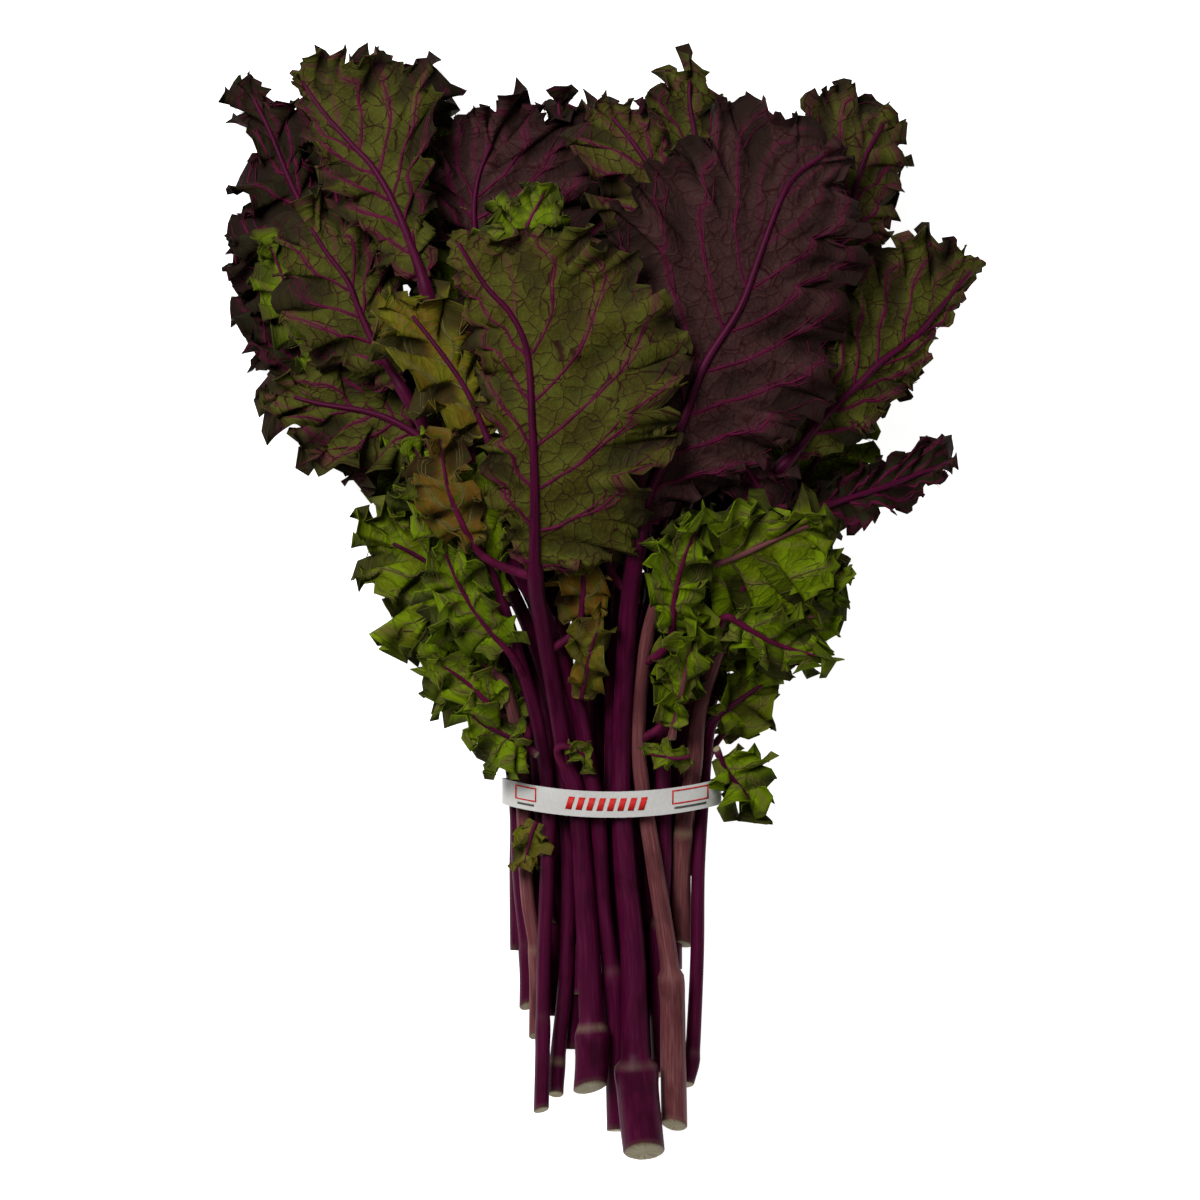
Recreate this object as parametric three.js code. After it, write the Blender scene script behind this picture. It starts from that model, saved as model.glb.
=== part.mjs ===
// A bunch of purple (red) kale, tied round its stems and lying on a table.
// Each leaf is a purple stem, which runs on as the midrib, and a waved and toothed blade. Four small
// leaves hold to the stems, and a paper-covered tie goes round the bundle.
//
// Millimetres, +Z up. The stems run along +Y towards the leaves, and the cut ends are at -Y.
// The origin is on the table, under the middle of the bunch.
import * as THREE from "three";

// The tie and the bundle of stems that it holds.
const TIE_Y = -84;
const TIE_WIDTH = 11;
const TIE_THICKNESS = 0.8;
const TIE_HALF_WIDTH = 46; // of the opening
const TIE_MIDDLE_X = 5;
const TIE_ROUNDNESS = 2.6; // 2 is an ellipse, more is squarer
const TIE_BOW = 0.0024; // how far the strap's sides lean to the leaves, in mm for each mm2
const TIE_SEGMENTS = 44;
const BUNDLE_HEIGHT = 36;

// The pile of leaves.
const PILE_HEIGHT = 100;
const PILE_HALF_WIDTH = 185;
const PILE_ROUNDING = 0.9; // 0 a slab, 1 a half cylinder
const TIPS_DROP = 28; // how much lower it is at the leaf tips

// Every leaf.
const BLADE_THICKNESS = 0.8;
const RIB_GAP = 0.6; // between a rib and its own blade
const RIB_END_RADIUS = 0.8;
const BASE_HALF_WIDTH = 3.5; // of a blade where it starts
const LOBE_DEPTH = 1.6; // of the scallops round the margin
const RUFFLE = 4.6; // height of the waves at the margin, in the middle of the pile
const STEP_LENGTH = 4; // over which a stem widens into the stalk that it grew on
const SPLINE_STEPS = 8;

// Colours. The tie is paper, and the rest is leaf or stem.
const COLOURS = {
  purple: 0x6f1c5e,
  rose: 0x9a5577,
  olive: 0x5c6638,
  dusk: 0x58454f,
  green: 0x5f8030,
  dark: 0x2f2a2d,
  yellowing: 0x86802f,
  paper: 0xf3f1ec,
};

// The leaves. route runs from the cut end to the end of the midrib, as seen from above, and base is its
// point where the blade starts. left and right are the margin's two sides from the base to the tip.
// levels are heights in the pile, from 0 (the table) to 1 (its top), at the cut end, at the tie, at the
// blade's base and at the tip. radii are the stem's at the cut end, at the tie and at the base.
// joint is where the stem widens into its stalk, waves counts them down one side, and grain is the
// number of facets along one side.
const LEAVES = [
  {
    name: "leaf_01", tint: "olive", stem: "purple",
    route: [[-4.6, -211], [-3.4, -185], [-6.3, -129], [-10, -84], [-14, -70], [-20.6, -31], [-25.6, -3],
      [-27, 12], [-27, 48], [-28, 74], [-30, 102], [-37, 118], [-47, 129], [-59, 148]],
    base: 7,
    left: [[-40, 28], [-50, 55], [-52, 90], [-56, 118], [-62, 138]],
    tip: [-63, 153],
    right: [[2, 15], [18, 24], [26, 50], [38, 92], [37, 113], [25, 130], [8, 146], [-17, 155], [-38, 151]],
    levels: [0.74, 0.8, 0.93, 0.95], radii: [6.8, 3.8, 3.4], joint: -184, waves: 6, grain: 20,
  },
  {
    name: "leaf_02", tint: "dusk", stem: "purple",
    route: [[19.3, -239], [15.5, -200], [13.9, -149], [11, -118], [9, -84], [9.2, -59], [10.5, -28],
      [12.6, 2], [16.4, 27], [21.4, 47], [33, 71], [43, 97], [57.5, 120], [65.5, 141], [74, 164],
      [81, 176], [94, 186]],
    base: 8,
    left: [[-2, 34], [-3, 55], [6, 84], [21, 109], [9, 130], [2, 153], [8, 170], [19, 184], [38, 190],
      [48, 206], [62, 211], [82, 203]],
    tip: [100, 193],
    right: [[38, 42], [59, 50], [84, 67], [97, 84], [102, 101], [105, 126], [114, 149], [108, 172]],
    levels: [0.76, 0.82, 0.8, 0.82], radii: [8.4, 4, 3.6], joint: -198, waves: 7, grain: 24,
  },
  {
    name: "leaf_03", tint: "green", stem: "rose",
    route: [[31.6, -227], [31, -195], [30, -160], [23.5, -115], [18.5, -84], [16.2, -60], [17.6, -34],
      [21, -10], [28.6, 8], [42, 13], [57, 18], [77, 27], [87, 31]],
    base: 8,
    left: [[29, 22], [42, 36], [61, 40], [78, 40], [92, 40]],
    tip: [101, 28],
    right: [[32, -5], [42, -17], [59, -21], [78, -17], [92, -5], [101, 12]],
    levels: [0.6, 0.79, 0.8, 0.82], radii: [5.2, 3.2, 2.5], joint: -160, waves: 5, grain: 16,
  },
  {
    name: "leaf_04", tint: "olive", stem: "purple",
    route: [[27, -205], [25.2, -155], [27, -110], [27, -84], [27, -55], [29, -30], [35, 0], [47, 25],
      [64, 45], [80, 60], [94, 77], [109, 91], [118, 100], [134, 112], [145, 125], [157, 139]],
    base: 9,
    left: [[82, 82], [95, 109], [104, 136], [113, 148], [123, 156], [136, 158], [149, 153]],
    tip: [163, 145],
    right: [[104, 63], [118, 76], [131, 91], [142, 105], [151, 122], [160, 136]],
    levels: [0.34, 0.62, 0.64, 0.66], radii: [4.5, 3.4, 3], joint: -140, waves: 6, grain: 18,
  },
  {
    name: "leaf_05", tint: "olive", stem: "purple",
    route: [[16.5, -180], [14.5, -130], [14.5, -84], [15.5, -40], [22, 0], [40, 50], [62, 90], [82, 120],
      [97, 142], [104, 157], [107, 170], [112, 187], [120, 202]],
    base: 7,
    left: [[84, 150], [80, 172], [80, 192], [83, 208], [94, 218], [106, 218], [117, 214]],
    tip: [127, 207],
    right: [[108, 136], [118, 150], [125, 166], [128, 180], [130, 192]],
    levels: [0.38, 0.5, 0.52, 0.54], radii: [3.6, 3.2, 2.8], joint: -150, waves: 5, grain: 16,
  },
  {
    name: "leaf_06", tint: "olive", stem: "purple",
    route: [[14, -160], [15, -120], [16.5, -84], [18, -40], [24, 20], [32, 70], [36, 110], [38, 145],
      [41, 168], [41, 189], [38, 210], [38, 220]],
    base: 7,
    left: [[26, 172], [21, 195], [20, 211], [22, 222], [29, 230]],
    tip: [38, 232],
    right: [[58, 168], [62, 190], [56, 208], [49, 221]],
    levels: [0.13, 0.2, 0.38, 0.4], radii: [3.8, 3, 2.6], joint: -130, waves: 4, grain: 14,
  },
  {
    name: "leaf_07", tint: "olive", stem: "purple",
    route: [[3, -176], [3.5, -130], [4.5, -84], [5, -40], [8, 0], [12, 60], [16, 110], [21, 148],
      [24, 172], [16, 188], [5, 202]],
    base: 7,
    left: [[4, 154], [-7, 168], [-14, 188], [-12, 204]],
    tip: [-2, 213],
    right: [[36, 166], [34, 184], [24, 202], [11, 211]],
    levels: [0.14, 0.52, 0.66, 0.68], radii: [3.8, 3.2, 2.6], joint: -140, waves: 4, grain: 14,
  },
  {
    name: "leaf_08", tint: "olive", stem: "purple",
    route: [[7.6, -228], [6.7, -185], [5.5, -163], [1.8, -135], [-0.3, -100], [-2, -84], [-5.5, -67],
      [-9.2, -46], [-17.6, -22], [-25, -3], [-33, 9], [-41, 25], [-49, 40], [-59, 76], [-68, 110],
      [-74, 134], [-85, 163], [-95, 181], [-105, 192], [-117, 206], [-126, 219]],
    base: 15,
    left: [[-92, 141], [-104, 156], [-116, 172], [-122, 189], [-127, 206]],
    tip: [-130, 225],
    right: [[-70, 149], [-71, 185], [-69, 210], [-72, 225], [-88, 229], [-110, 232]],
    levels: [0.42, 0.77, 0.66, 0.68], radii: [5, 3.6, 3.2], joint: -160, waves: 6, grain: 20,
  },
  {
    name: "leaf_09", tint: "dark", stem: "purple",
    route: [[-31, -176], [-31, -151], [-34, -120], [-36, -84], [-39, -50], [-46, -20], [-62, 20],
      [-81, 60], [-99, 100], [-113, 136], [-120, 155], [-131, 176], [-141, 200], [-148, 214]],
    base: 9,
    left: [[-138, 118], [-150, 124], [-158, 136], [-159, 151], [-155, 165], [-157, 177], [-152, 187],
      [-154, 204], [-162, 216], [-157, 224]],
    tip: [-149, 227],
    right: [[-108, 146], [-116, 158], [-120, 178], [-126, 206], [-137, 219]],
    levels: [0.3, 0.35, 0.24, 0.26], radii: [3.4, 3, 2.6], joint: -150, waves: 5, grain: 16,
  },
  {
    name: "leaf_10", tint: "dark", stem: "purple",
    route: [[-23, -112], [-24, -84], [-28, -50], [-40, -12], [-62, 28], [-85, 62], [-104, 90],
      [-120, 112], [-132, 132], [-140, 145], [-149, 159]],
    base: 6,
    left: [[-118, 72], [-138, 84], [-152, 105], [-160, 128], [-160, 150]],
    tip: [-155, 170],
    right: [[-92, 110], [-104, 138], [-118, 160], [-136, 172]],
    levels: [0.16, 0.18, 0.08, 0.05], radii: [3, 3, 2.6], joint: -300, waves: 5, grain: 16,
  },
  {
    name: "leaf_11", tint: "olive", stem: "purple",
    route: [[-19, -213], [-18, -195], [-14.5, -160], [-13.5, -115], [-15.5, -84], [-19, -50], [-31, -10],
      [-51, 30], [-68, 62], [-84, 90], [-94, 106], [-101, 121], [-106, 134], [-115, 146], [-122, 157]],
    base: 9,
    left: [[-108, 96], [-128, 108], [-137, 128], [-137, 146], [-134, 160]],
    tip: [-127, 170],
    right: [[-82, 106], [-85, 130], [-91, 148], [-98, 164], [-112, 171]],
    levels: [0.4, 0.5, 0.52, 0.54], radii: [3.2, 3, 2.6], joint: -198, waves: 5, grain: 16,
  },
  {
    name: "leaf_12", tint: "olive", stem: "purple",
    route: [[-10, -165], [-12, -120], [-13.5, -84], [-16, -50], [-25, -10], [-42, 25], [-60, 50],
      [-73, 66], [-86, 75], [-100, 80], [-118, 83], [-130, 86]],
    base: 7,
    left: [[-84, 56], [-101, 50], [-118, 55], [-133, 67], [-145, 79]],
    tip: [-146, 92],
    right: [[-76, 86], [-88, 99], [-106, 104], [-124, 102], [-138, 98]],
    levels: [0.16, 0.2, 0.38, 0.38], radii: [4, 3, 2.6], joint: -130, waves: 5, grain: 16,
  },
  {
    name: "leaf_13", tint: "green", stem: "purple",
    route: [[-25, -219], [-24.4, -193], [-24, -156], [-22.5, -115], [-22, -84], [-27, -50], [-35, -22],
      [-41, -2], [-45, 12], [-53, 27], [-60, 39], [-65, 51]],
    base: 7,
    left: [[-54, -1], [-68, 15], [-81, 32], [-85, 45], [-82, 58]],
    tip: [-71, 64],
    right: [[-39, 12], [-40, 26], [-41, 42], [-46, 56], [-57, 62]],
    levels: [0.6, 0.72, 0.8, 0.8], radii: [3.2, 3, 2.8], joint: -180, waves: 4, grain: 14,
  },
  {
    name: "leaf_14", tint: "green", stem: "rose",
    route: [[-27, -188], [-27.3, -151], [-31, -125], [-33, -84], [-35, -60], [-38, -44], [-43, -32],
      [-58, -24], [-66, -18]],
    base: 6,
    left: [[-48, -45], [-62, -48], [-74, -42]],
    tip: [-78, -26],
    right: [[-47, -21], [-53, -9], [-65, -5], [-75, -12]],
    levels: [0.46, 0.57, 0.66, 0.66], radii: [3.2, 2.8, 2.4], joint: -150, waves: 4, grain: 12,
  },
  {
    name: "leaf_15", tint: "green", stem: "purple",
    route: [[-26, -66], [-30, -62], [-38, -58], [-48, -53], [-54, -49]],
    base: 1,
    left: [[-34, -73], [-43, -78], [-52, -70], [-59, -60]],
    tip: [-61, -48],
    right: [[-36, -49], [-46, -41], [-56, -40]],
    levels: [1.14, 1.14, 1.12, 1.05], radii: [1.6, 1.6, 1.5], joint: -300, waves: 3, grain: 12,
  },
  {
    name: "leaf_16", tint: "green", stem: "purple",
    route: [[-21, -140], [-24, -115], [-26, -84], [-30, -50], [-39, -18], [-48, -4], [-58, 6], [-70, 14],
      [-80, 20], [-88, 24]],
    base: 5,
    left: [[-54, -18], [-68, -14], [-78, -22], [-92, -22], [-98, -4], [-104, 12]],
    tip: [-107, 34],
    right: [[-54, 13], [-66, 33], [-82, 44], [-98, 43]],
    levels: [0.3, 0.44, 0.38, 0.36], radii: [3, 2.8, 2.4], joint: -130, waves: 5, grain: 14,
  },
  {
    name: "leaf_17", tint: "dusk", stem: "purple",
    route: [[-8, -170], [-6.5, -130], [-5.5, -84], [-6, -40], [-12, 10], [-24, 60], [-38, 105],
      [-48, 136], [-53, 158], [-52, 177], [-46, 193]],
    base: 7,
    left: [[-66, 146], [-73, 168], [-72, 190], [-64, 204]],
    tip: [-47, 212],
    right: [[-26, 140], [-6, 158], [-1, 184], [-12, 205], [-30, 213]],
    levels: [0.36, 0.5, 0.38, 0.4], radii: [4, 3.2, 2.8], joint: -150, waves: 5, grain: 16,
  },
  {
    name: "leaf_18", tint: "dark", stem: "purple",
    route: [[-3, -125], [-3.5, -105], [-4, -84], [-5, -40], [-12, 10], [-32, 60], [-56, 105], [-76, 142],
      [-85, 172], [-90, 200], [-90, 221]],
    base: 7,
    left: [[-96, 158], [-107, 185], [-108, 210], [-111, 232]],
    tip: [-94, 237],
    right: [[-62, 160], [-54, 186], [-59, 210], [-68, 226], [-78, 235]],
    levels: [0.18, 0.2, 0.24, 0.26], radii: [3.4, 3.2, 2.8], joint: -300, waves: 5, grain: 14,
  },
  {
    name: "leaf_19", tint: "dark", stem: "purple",
    route: [[22.5, -150], [22.5, -120], [24, -84], [25, -50], [32, -12], [48, 16], [68, 30], [86, 37],
      [102, 42], [118, 47], [134, 53], [148, 58]],
    base: 7,
    left: [[92, 50], [107, 56], [119, 59], [129, 64], [142, 70], [150, 69]],
    tip: [155, 61],
    right: [[98, 27], [111, 31], [127, 38], [139, 46], [148, 53]],
    levels: [0.13, 0.4, 0.52, 0.5], radii: [3, 2.9, 2.6], joint: -300, waves: 5, grain: 14,
  },
  {
    name: "leaf_20", tint: "green", stem: "purple",
    route: [[33, -104], [34, -84], [36, -50], [43, -15], [60, 14], [76, 36], [90, 56], [101, 74],
      [109, 90], [114, 101]],
    base: 5,
    left: [[70, 58], [77, 80], [88, 99], [101, 111]],
    tip: [118, 112],
    right: [[94, 36], [108, 46], [117, 60], [120, 78], [125, 97]],
    levels: [0.27, 0.3, 0.24, 0.24], radii: [3, 3, 2.6], joint: -300, waves: 5, grain: 14,
  },
  {
    name: "leaf_21", tint: "green", stem: "rose",
    route: [[35.5, -150], [34.5, -125], [35, -101], [37.5, -84], [40, -71], [41.6, -49], [45.8, -33],
      [53, -15], [64, -11], [77, -9], [90, -7], [97, -5]],
    base: 7,
    left: [[58, 2], [74, 6], [90, 9], [101, 7]],
    tip: [106, -2],
    right: [[60, -25], [72, -31], [87, -30], [99, -23], [105, -12]],
    levels: [0.25, 0.6, 0.66, 0.66], radii: [4, 3.6, 2.8], joint: -100, waves: 4, grain: 14,
  },
  {
    name: "leaf_22", tint: "green", stem: "purple",
    route: [[35.8, -209], [39.2, -195], [40.4, -178], [41.6, -149], [42, -115], [44, -84], [46.6, -57],
      [50, -50], [56, -45], [63, -40], [69, -36]],
    base: 7,
    left: [[50, -38], [57, -28], [67, -24]],
    tip: [76, -31],
    right: [[57, -57], [65, -61], [73, -55], [77, -44]],
    levels: [0.4, 0.42, 0.5, 0.52], radii: [3.6, 2.7, 2.2], joint: -196, waves: 3, grain: 12,
  },
  {
    name: "leaf_23", tint: "green", stem: "purple",
    route: [[49, -62], [51, -67], [54, -73], [59, -79], [64, -85]],
    base: 1,
    left: [[60, -63], [70, -68], [74, -78]],
    tip: [73, -90],
    right: [[49, -74], [52, -83], [58, -90], [65, -95]],
    levels: [0.8, 0.8, 0.8, 0.8], radii: [1.6, 1.6, 1.5], joint: -300, waves: 3, grain: 12,
  },
  {
    name: "leaf_24", tint: "green", stem: "rose",
    route: [[30, -60], [31, -54], [33, -45], [36, -30], [38, -18]],
    base: 1,
    left: [[24.5, -46], [25, -32], [27, -18], [33, -9]],
    tip: [40, -7],
    right: [[38, -49], [40, -38], [45, -24], [45, -13]],
    levels: [1, 1, 1, 0.96], radii: [1.8, 1.8, 1.7], joint: -300, waves: 3, grain: 12,
  },
  {
    name: "leaf_25", tint: "dark", stem: "purple",
    route: [[5.5, -118], [6, -84], [6.5, -40], [4, 12], [0, 56], [-4, 90], [-8, 125], [-10, 150]],
    base: 3,
    left: [[-20, 28], [-36, 60], [-45, 98], [-45, 130], [-34, 156]],
    tip: [-12, 172],
    right: [[20, 26], [30, 60], [34, 98], [32, 130], [18, 158]],
    levels: [0.16, 0.2, 0.12, 0.14], radii: [3.2, 3.2, 2.8], joint: -300, waves: 4, grain: 12,
  },
  {
    name: "leaf_26", tint: "dark", stem: "purple",
    route: [[27.5, -102], [27.5, -84], [31, -45], [42, 0], [52, 38], [66, 78], [76, 110], [84, 134]],
    base: 3,
    left: [[34, 36], [38, 70], [46, 104], [60, 134]],
    tip: [90, 152],
    right: [[58, 12], [78, 44], [96, 76], [106, 108], [106, 138]],
    levels: [0.16, 0.18, 0.06, 0.03], radii: [3, 3, 2.6], joint: -300, waves: 4, grain: 12,
  },
  {
    name: "leaf_27", tint: "yellowing", stem: "purple",
    route: [[-42, 56], [-47, 68], [-56, 88], [-67, 104], [-78, 118]],
    base: 1,
    left: [[-66, 72], [-80, 88], [-92, 104], [-97, 120]],
    tip: [-88, 131],
    right: [[-38, 84], [-50, 104], [-56, 120], [-70, 132]],
    levels: [0.8, 0.8, 0.8, 0.8], radii: [2, 2, 1.8], joint: -300, waves: 4, grain: 12,
  },
];

// The small leaves that hold to the stems, in the same words as the leaves.
const LEAFLETS = [
  {
    name: "leaflet_1", tint: "yellowing",
    route: [[-16, 12], [-8, 22], [0, 34], [5, 43]],
    left: [[-22, 24], [-17, 38], [-6, 45]],
    tip: [5, 47],
    right: [[-4, 11], [4, 22], [9, 34]],
    levels: [0.88, 0.88, 0.87, 0.87], waves: 2, grain: 8,
  },
  {
    name: "leaflet_2", tint: "yellowing",
    route: [[-8, -42], [-6, -32], [-3, -18], [2, -6]],
    left: [[-13, -32], [-12, -18], [-6, -6]],
    tip: [3, -2],
    right: [[-1, -40], [3, -28], [5, -14]],
    levels: [0.84, 0.84, 0.9, 0.95], waves: 2, grain: 8,
  },
  {
    name: "leaflet_3", tint: "yellowing",
    route: [[-27, -94], [-29, -99], [-31, -107], [-32, -113]],
    left: [[-24, -102], [-24, -110], [-28, -116]],
    tip: [-32, -117],
    right: [[-34, -96], [-37, -104], [-37, -112]],
    levels: [0.86, 0.86, 0.84, 0.84], waves: 2, grain: 8,
  },
  {
    name: "leaflet_4", tint: "green",
    route: [[38, -66], [32, -67], [26, -66], [20, -65]],
    left: [[36, -71], [29, -73], [22, -71]],
    tip: [16, -64],
    right: [[34, -62], [27, -60], [20, -60]],
    levels: [1.06, 1.06, 1.06, 1.06], waves: 2, grain: 8,
  },
];

// Plain arithmetic.
const clamp = (v, low, high) => Math.min(high, Math.max(low, v));
const mix = (a, b, t) => a + (b - a) * t;
const smooth = (from, to, v) => {
  const t = clamp((v - from) / (to - from), 0, 1);
  return t * t * (3 - 2 * t);
};

// A smooth line through points of a plan, with the distance along it at every step.
function splineThrough(points) {
  const at = (i) => points[clamp(i, 0, points.length - 1)];
  const line = [];
  for (let i = 0; i < points.length - 1; i++) {
    const [a, b, c, d] = [at(i - 1), at(i), at(i + 1), at(i + 2)];
    for (let k = 0; k < SPLINE_STEPS; k++) {
      const t = k / SPLINE_STEPS;
      line.push(
        [0, 1].map(
          (n) =>
            b[n] +
            0.5 *
              t *
              (c[n] -
                a[n] +
                t * (2 * a[n] - 5 * b[n] + 4 * c[n] - d[n] + t * (3 * (b[n] - c[n]) + d[n] - a[n]))),
        ),
      );
    }
  }
  line.push(at(points.length - 1));
  const lengths = [0];
  for (let i = 1; i < line.length; i++) {
    lengths.push(lengths[i - 1] + Math.hypot(line[i][0] - line[i - 1][0], line[i][1] - line[i - 1][1]));
  }
  return { line, lengths, total: lengths[lengths.length - 1] };
}

function pointAlong({ line, lengths }, distance) {
  let i = 1;
  while (i < lengths.length - 1 && lengths[i] < distance) i++;
  const t = (distance - lengths[i - 1]) / (lengths[i] - lengths[i - 1]);
  return [0, 1].map((n) => mix(line[i - 1][n], line[i][n], t));
}

// The height of the pile's top over a place.
function pileTop(x, y) {
  const height =
    BUNDLE_HEIGHT + (PILE_HEIGHT - BUNDLE_HEIGHT) * smooth(-75, 70, y) - TIPS_DROP * smooth(150, 245, y);
  const across = clamp((x + 5) / PILE_HALF_WIDTH, -0.98, 0.98);
  const rounding = PILE_ROUNDING * smooth(-60, 60, y);
  return height * (1 - rounding * (1 - Math.sqrt(1 - across * across)));
}

// What both the stem and the blade of a leaf are measured from.
function layOut(leaf) {
  const midline = splineThrough(leaf.route);
  const base = midline.lengths[leaf.base * SPLINE_STEPS];
  const firstAtTie = midline.line.findIndex(([, y]) => y >= TIE_Y);
  const tie = leaf.route[0][1] < TIE_Y ? midline.lengths[firstAtTie] : 0;
  const level = (distance) => {
    if (tie > 0 && distance < tie) return mix(leaf.levels[0], leaf.levels[1], distance / tie);
    if (distance < base) return mix(leaf.levels[1], leaf.levels[2], smooth(tie, base, distance));
    return mix(leaf.levels[2], leaf.levels[3], (distance - base) / (midline.total - base));
  };
  return { midline, base, tie, level };
}

// A line from the blade's base round one side to its tip.
function marginOf(leaf, { midline, base }, side) {
  const [x, y] = pointAlong(midline, base);
  const [ax, ay] = pointAlong(midline, base + 2);
  const turn = (side * BASE_HALF_WIDTH) / Math.hypot(ax - x, ay - y);
  const start = [x - (ay - y) * turn, y + (ax - x) * turn];
  return splineThrough([start, ...(side > 0 ? leaf.left : leaf.right), leaf.tip]);
}

// A point of the blade's middle surface: u goes from the base to the tip, s from the midrib to the margin.
function bladePoint(leaf, layout, margin, side, u, s) {
  const foot = layout.base + (layout.midline.total - layout.base) * Math.pow(u, 1.1);
  const [fx, fy] = pointAlong(layout.midline, foot);
  const [mx, my] = pointAlong(margin, margin.total * u);
  const width = Math.hypot(mx - fx, my - fy);
  const phase = leaf.waves * u + (side > 0 ? 0.2 : 0.65);
  const ends = smooth(0, 0.08, u) * (1 - smooth(0.9, 1, u));
  const lobe = ends * LOBE_DEPTH * Math.sin(2 * Math.PI * (1.9 * phase + 0.3));
  const reach = s * (1 + lobe / Math.max(width, 8));
  const x = mix(fx, mx, reach);
  const y = mix(fy, my, reach);
  const top = pileTop(x, y);
  const height = (RUFFLE * top * Math.min(1, width / 24)) / PILE_HEIGHT;
  const swings = Math.sin(2 * Math.PI * phase) + 0.35 * Math.sin(2 * Math.PI * (0.37 * phase + 0.1));
  const wave = ends * height * s * s * swings;
  const z = top * layout.level(foot) + wave;
  return new THREE.Vector3(x, y, Math.max(z, BLADE_THICKNESS / 2));
}

// A closed mesh from corners and faces, which are lists of corner numbers.
function meshOf(name, colour, corners, faces) {
  const fan = (face) => face.slice(2).flatMap((_, k) => [face[0], face[k + 1], face[k + 2]]);
  const triangles = faces.flatMap(fan);
  const geometry = new THREE.BufferGeometry();
  geometry.setAttribute("position", new THREE.Float32BufferAttribute(corners.flatMap((p) => p.toArray()), 3));
  geometry.setIndex(triangles);
  geometry.computeVertexNormals();
  const material = new THREE.MeshStandardMaterial({ color: COLOURS[colour], roughness: 0.55, metalness: 0 });
  const mesh = new THREE.Mesh(geometry, material);
  mesh.name = name;
  return mesh;
}

// Gives a sheet its thickness. faces go anticlockwise seen from above, and rim lists its edge the same way.
function thicken(name, colour, corners, faces, rim) {
  const normals = corners.map(() => new THREE.Vector3());
  for (const face of faces) {
    const [a, b, c] = face.map((i) => corners[i]);
    const across = b.clone().sub(a).cross(c.clone().sub(a));
    face.forEach((i) => normals[i].add(across));
  }
  const half = BLADE_THICKNESS / 2;
  const lift = (way) =>
    corners.map((p, i) => p.clone().addScaledVector(normals[i].clone().normalize(), way * half));
  const n = corners.length;
  const under = faces.map((face) => face.map((i) => i + n).reverse());
  const edge = rim.flatMap((a, k) => {
    const b = rim[(k + 1) % rim.length];
    return [[a, a + n, b + n], [a, b + n, b]];
  });
  return meshOf(name, colour, [...lift(1), ...lift(-1)], [...faces, ...under, ...edge]);
}

// A blade: three rows of facets on each side of the midrib, the row by the midrib half as fine.
const ROWS = [0, 0.4, 0.72, 1];
function makeBlade(leaf, layout, name) {
  const corners = [];
  const numbers = new Map();
  const faces = [];
  const edges = { 1: [], "-1": [] };
  for (const side of [1, -1]) {
    const margin = marginOf(leaf, layout, side);
    const corner = (column, row) => {
      const shared = row === 0 || column === leaf.grain;
      const key = (shared ? 0 : side) + ":" + column + ":" + row;
      if (!numbers.has(key)) {
        numbers.set(key, corners.length);
        corners.push(bladePoint(leaf, layout, margin, side, column / leaf.grain, ROWS[row]));
      }
      return numbers.get(key);
    };
    // Seen from above, the left side runs the other way round than the right one.
    const face = (...f) => faces.push(side > 0 ? f.reverse() : f);
    for (let c = 0; c < leaf.grain; c += 2) {
      const d = c + 1;
      const e = c + 2;
      face(corner(c, 0), corner(c, 1), corner(e, 1));
      face(corner(c, 0), corner(e, 1), corner(e, 0));
      face(corner(c, 1), corner(c, 2), corner(d, 2));
      face(corner(c, 1), corner(d, 2), corner(e, 1));
      face(corner(e, 1), corner(d, 2), corner(e, 2));
      for (const k of [c, d]) {
        face(corner(k, 2), corner(k, 3), corner(k + 1, 3));
        face(corner(k, 2), corner(k + 1, 3), corner(k + 1, 2));
      }
    }
    edges[side] = [corner(0, 1), corner(0, 2)];
    for (let c = 0; c <= leaf.grain; c++) edges[side].push(corner(c, 3));
  }
  // From the base up the right side, round the tip and down the left side.
  const rim = [numbers.get("0:0:0"), ...edges[-1], ...edges[1].slice(0, -1).reverse()];
  return thicken(name, leaf.tint, corners, faces, rim);
}

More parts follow.
